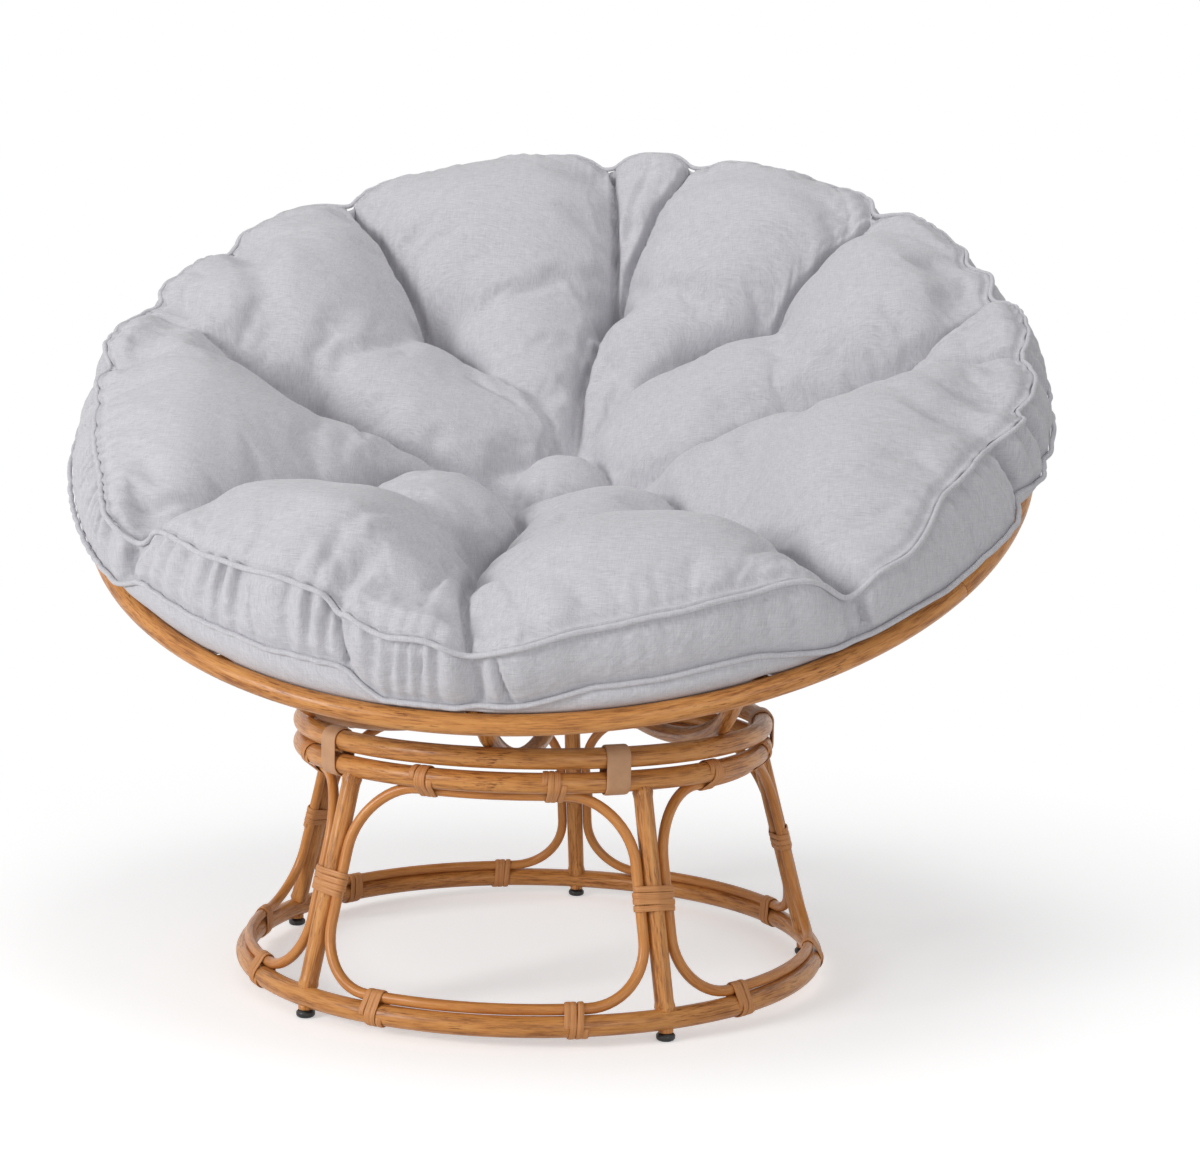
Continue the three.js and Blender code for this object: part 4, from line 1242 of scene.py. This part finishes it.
# The top panel and the band: their points and faces, the row along the low seam, how firmly each
# point is held, and its part, which grows to 1 on the panel and to 2 down the band.
def upper_net():
    share, angle, faces, row = disc_net(rings)
    radius = (top_seam_radius(angle) - piping_r) * share
    points = [bowl_points(radius, angle, panel_height(angle, share))]
    hold, part = [stitch_hold(share, angle)], [share]
    column_angle = np.array(full_turn(columns))
    for step in range(1, gusset_rings + 1):
        radius, height = gusset_places(np.full(columns, 1 - step / gusset_rings), column_angle)
        low = [len(share) + (step - 1) * columns + m for m in range(columns)]
        for m in range(columns):
            n = (m + 1) % columns
            faces.append((low[m], low[n], row[n], row[m]))
        row = low
        points.append(bowl_points(radius, column_angle, height))
        to_seam = min(step, gusset_rings - step) / gusset_rings
        firmness = max(band_hold, 1 - band_hold_fall * to_seam)
        hold.append(np.full(columns, firmness))
        part.append(np.full(columns, 1 + step / gusset_rings))
    return np.concatenate(points), faces, row, np.concatenate(hold), np.concatenate(part)


# The underside has a net half as fine, whose edge takes in every point of the low seam. Its own
# points are numbered from first on, and their part grows to 3 in the middle.
def lower_net(seam_row, first):
    share, angle, net_faces, edge = disc_net(under_rings)
    radius, height = underside_places(share, angle)
    column_of = {at: m for m, at in enumerate(edge)}
    inner = [at for at in range(len(share)) if at not in column_of]
    index = {at: first + step for step, at in enumerate(inner)}
    index.update({at: seam_row[2 * m] for at, m in column_of.items()})
    faces = []
    for face in net_faces:
        corners = []
        for a, b in zip(face, face[1:] + face[:1]):
            corners.append(index[a])
            if a in column_of and b in column_of:
                step = (column_of[b] - column_of[a] + 1) % len(edge) - 1
                if abs(step) == 1:
                    corners.append(seam_row[(2 * column_of[a] + step) % columns])
        faces.append(tuple(reversed(corners)))
    return bowl_points(radius, angle, height)[inner], faces, 3 - share[inner]


def cushion_piece():
    cover, faces, seam_row, hold, part = upper_net()
    cover = swell(cover, faces, hold)
    under, under_faces, under_part = lower_net(seam_row, len(cover))
    rough = mesh_piece("cushion_rough", np.concatenate([cover, under]), faces + under_faces)
    outside(rough)
    parts = rough.data.attributes.new("part", "FLOAT", "POINT").data
    parts.foreach_set("value", np.concatenate([part, under_part]))
    rough.modifiers.new("finer", "SUBSURF").levels = 1
    shaped = rough.evaluated_get(bpy.context.evaluated_depsgraph_get())
    mesh = bpy.data.meshes.new_from_object(shaped)
    bpy.data.objects.remove(rough)
    mesh.name = "cushion_cover"
    press_folds(mesh)
    piece = bpy.data.objects.new("cushion_cover", mesh)
    bpy.context.scene.collection.objects.link(piece)
    return piece


linen = (0.562, 0.555, 0.586, 1)
linen_dark = (0.455, 0.452, 0.478, 1)
linen_pale = (0.655, 0.65, 0.675, 1)


def linen_look():
    material, tree, shader = new_material("grey_linen")
    place = add_node(tree, "ShaderNodeTexCoord").outputs["Object"]
    spreads = ((1900, 90, 90), (90, 1900, 90), (90, 90, 1900))
    threads = [noise(tree, place, spread, 2.0) for spread in spreads]
    woven = maths(tree, "ADD", maths(tree, "ADD", threads[0], threads[1]), threads[2])
    stops = [(0.35, linen_dark), (0.5, linen), (0.65, linen_pale)]
    colour = shades(tree, maths(tree, "DIVIDE", woven, 3.0), stops)
    rough = ranged(tree, threads[0], 0.0, 1.0, 0.8, 0.95)
    surface(tree, shader, colour, rough, woven, 0.25, 0.0006)
    shader.inputs["Sheen Weight"].default_value = 0.15
    shader.inputs["Sheen Roughness"].default_value = 0.5
    return material


grey_linen = linen_look()
cushion = cushion_piece()
dress(cushion, grey_linen, "grey_linen", "cushion", "cushion")


def piping_piece(name, radius_at, height_at, node):
    angles = np.array(full_turn(columns))
    centres = [Vector(place) for place in bowl_points(radius_at(angles), angles, height_at(angles))]
    piece = drawn_tube(name, centres, bowl_up, piping_r, 12, closed=True)
    return dress(piece, grey_linen, "grey_piping", "cushion", node)


piping_piece("piping_cord_top", top_seam_radius, top_seam_height, "piping_top")
piping_piece("piping_cord_bottom", low_seam_radius, low_seam_height, "piping_bottom")

# Studio
# A plain pale floor, a white surround and soft lamps, with the camera where the
# photograph was taken from.
floor_reach = 6.0
floor_ends = ((-1, -1), (1, -1), (1, 1), (-1, 1))
floor_corners = [(x * floor_reach, y * floor_reach, 0) for x, y in floor_ends]
floor = mesh_piece("studio_floor", floor_corners, [(0, 1, 2, 3)])


# The rays that show white: straight to the camera, mirrored or passed through.
def seen_rays(tree):
    ray = add_node(tree, "ShaderNodeLightPath").outputs
    direct = maths(tree, "MAXIMUM", ray["Is Camera Ray"], ray["Is Glossy Ray"])
    return maths(tree, "MAXIMUM", direct, ray["Is Transmission Ray"])


# White from a step away, and a little lifted near the chair, where it takes the shadow.
def floor_look():
    material, tree, shader = new_material("studio_floor")
    place = add_node(tree, "ShaderNodeNewGeometry").outputs["Position"]
    distance = add_node(tree, "ShaderNodeVectorMath", [(0, place)], operation="LENGTH")
    far = add_node(tree, "ShaderNodeMapRange", [("Value", distance.outputs["Value"])],
                   interpolation_type="SMOOTHSTEP", From_Min=0.45, From_Max=1.25).outputs[0]
    seen = seen_rays(tree)
    shader.inputs["Base Color"].default_value = grey(0.86)
    shader.inputs["Roughness"].default_value = 0.9
    shader.inputs["Emission Color"].default_value = grey(0.42)
    tree.links.new(seen, shader.inputs["Emission Strength"])
    white = add_node(tree, "ShaderNodeEmission", Color=grey(1.0), Strength=1.0)
    feeds = [(0, maths(tree, "MULTIPLY", far, seen)), (1, shader.outputs[0]), (2, white.outputs[0])]
    mix = add_node(tree, "ShaderNodeMixShader", feeds)
    tree.links.new(mix.outputs[0], tree.nodes["Material Output"].inputs["Surface"])
    return material


floor.data.materials.append(floor_look())

world = bpy.data.worlds.new("studio")
bpy.context.scene.world = world
world.use_nodes = True
world_tree = world.node_tree
soft_fill = world_tree.nodes["Background"]
soft_fill.inputs["Color"].default_value = grey(1.0)
soft_fill.inputs["Strength"].default_value = 0.30
white_wall = add_node(world_tree, "ShaderNodeBackground", Color=grey(1.0), Strength=1.0)
world_feeds = [(0, seen_rays(world_tree)), (1, soft_fill.outputs[0]), (2, white_wall.outputs[0])]
world_mix = add_node(world_tree, "ShaderNodeMixShader", world_feeds)
world_tree.links.new(world_mix.outputs[0], world_tree.nodes["World Output"].inputs["Surface"])


def soft_lamp(name, place, target_height, size, power):
    lamp = bpy.data.lights.new(name, "AREA")
    lamp.shape = "RECTANGLE"
    lamp.size = lamp.size_y = size
    lamp.energy = power
    holder = bpy.data.objects.new(name, lamp)
    bpy.context.scene.collection.objects.link(holder)
    holder.location = place
    way = Vector((0, 0, target_height)) - Vector(place)
    holder.rotation_euler = way.to_track_quat("-Z", "Y").to_euler()


soft_lamp("key_lamp", (-2.5, -2.5, 1.5), 0.5, 1.1, 68)
soft_lamp("fill_lamp", (2.0, -2.8, 1.2), 0.5, 2.0, 21)
soft_lamp("top_lamp", (0.2, 0.0, 3.1), 0.6, 1.3, 20)

camera = bpy.data.cameras.new("camera")
camera.lens = 66
camera.sensor_width = 36
camera_holder = bpy.data.objects.new("camera", camera)
bpy.context.scene.collection.objects.link(camera_holder)
camera_holder.location = (0.4272, -2.4412, 0.6567)
camera_holder.rotation_euler = [math.radians(turn) for turn in (84.355, -1.049, 8.851)]
bpy.context.scene.camera = camera_holder
bpy.context.scene.view_settings.view_transform = "Standard"
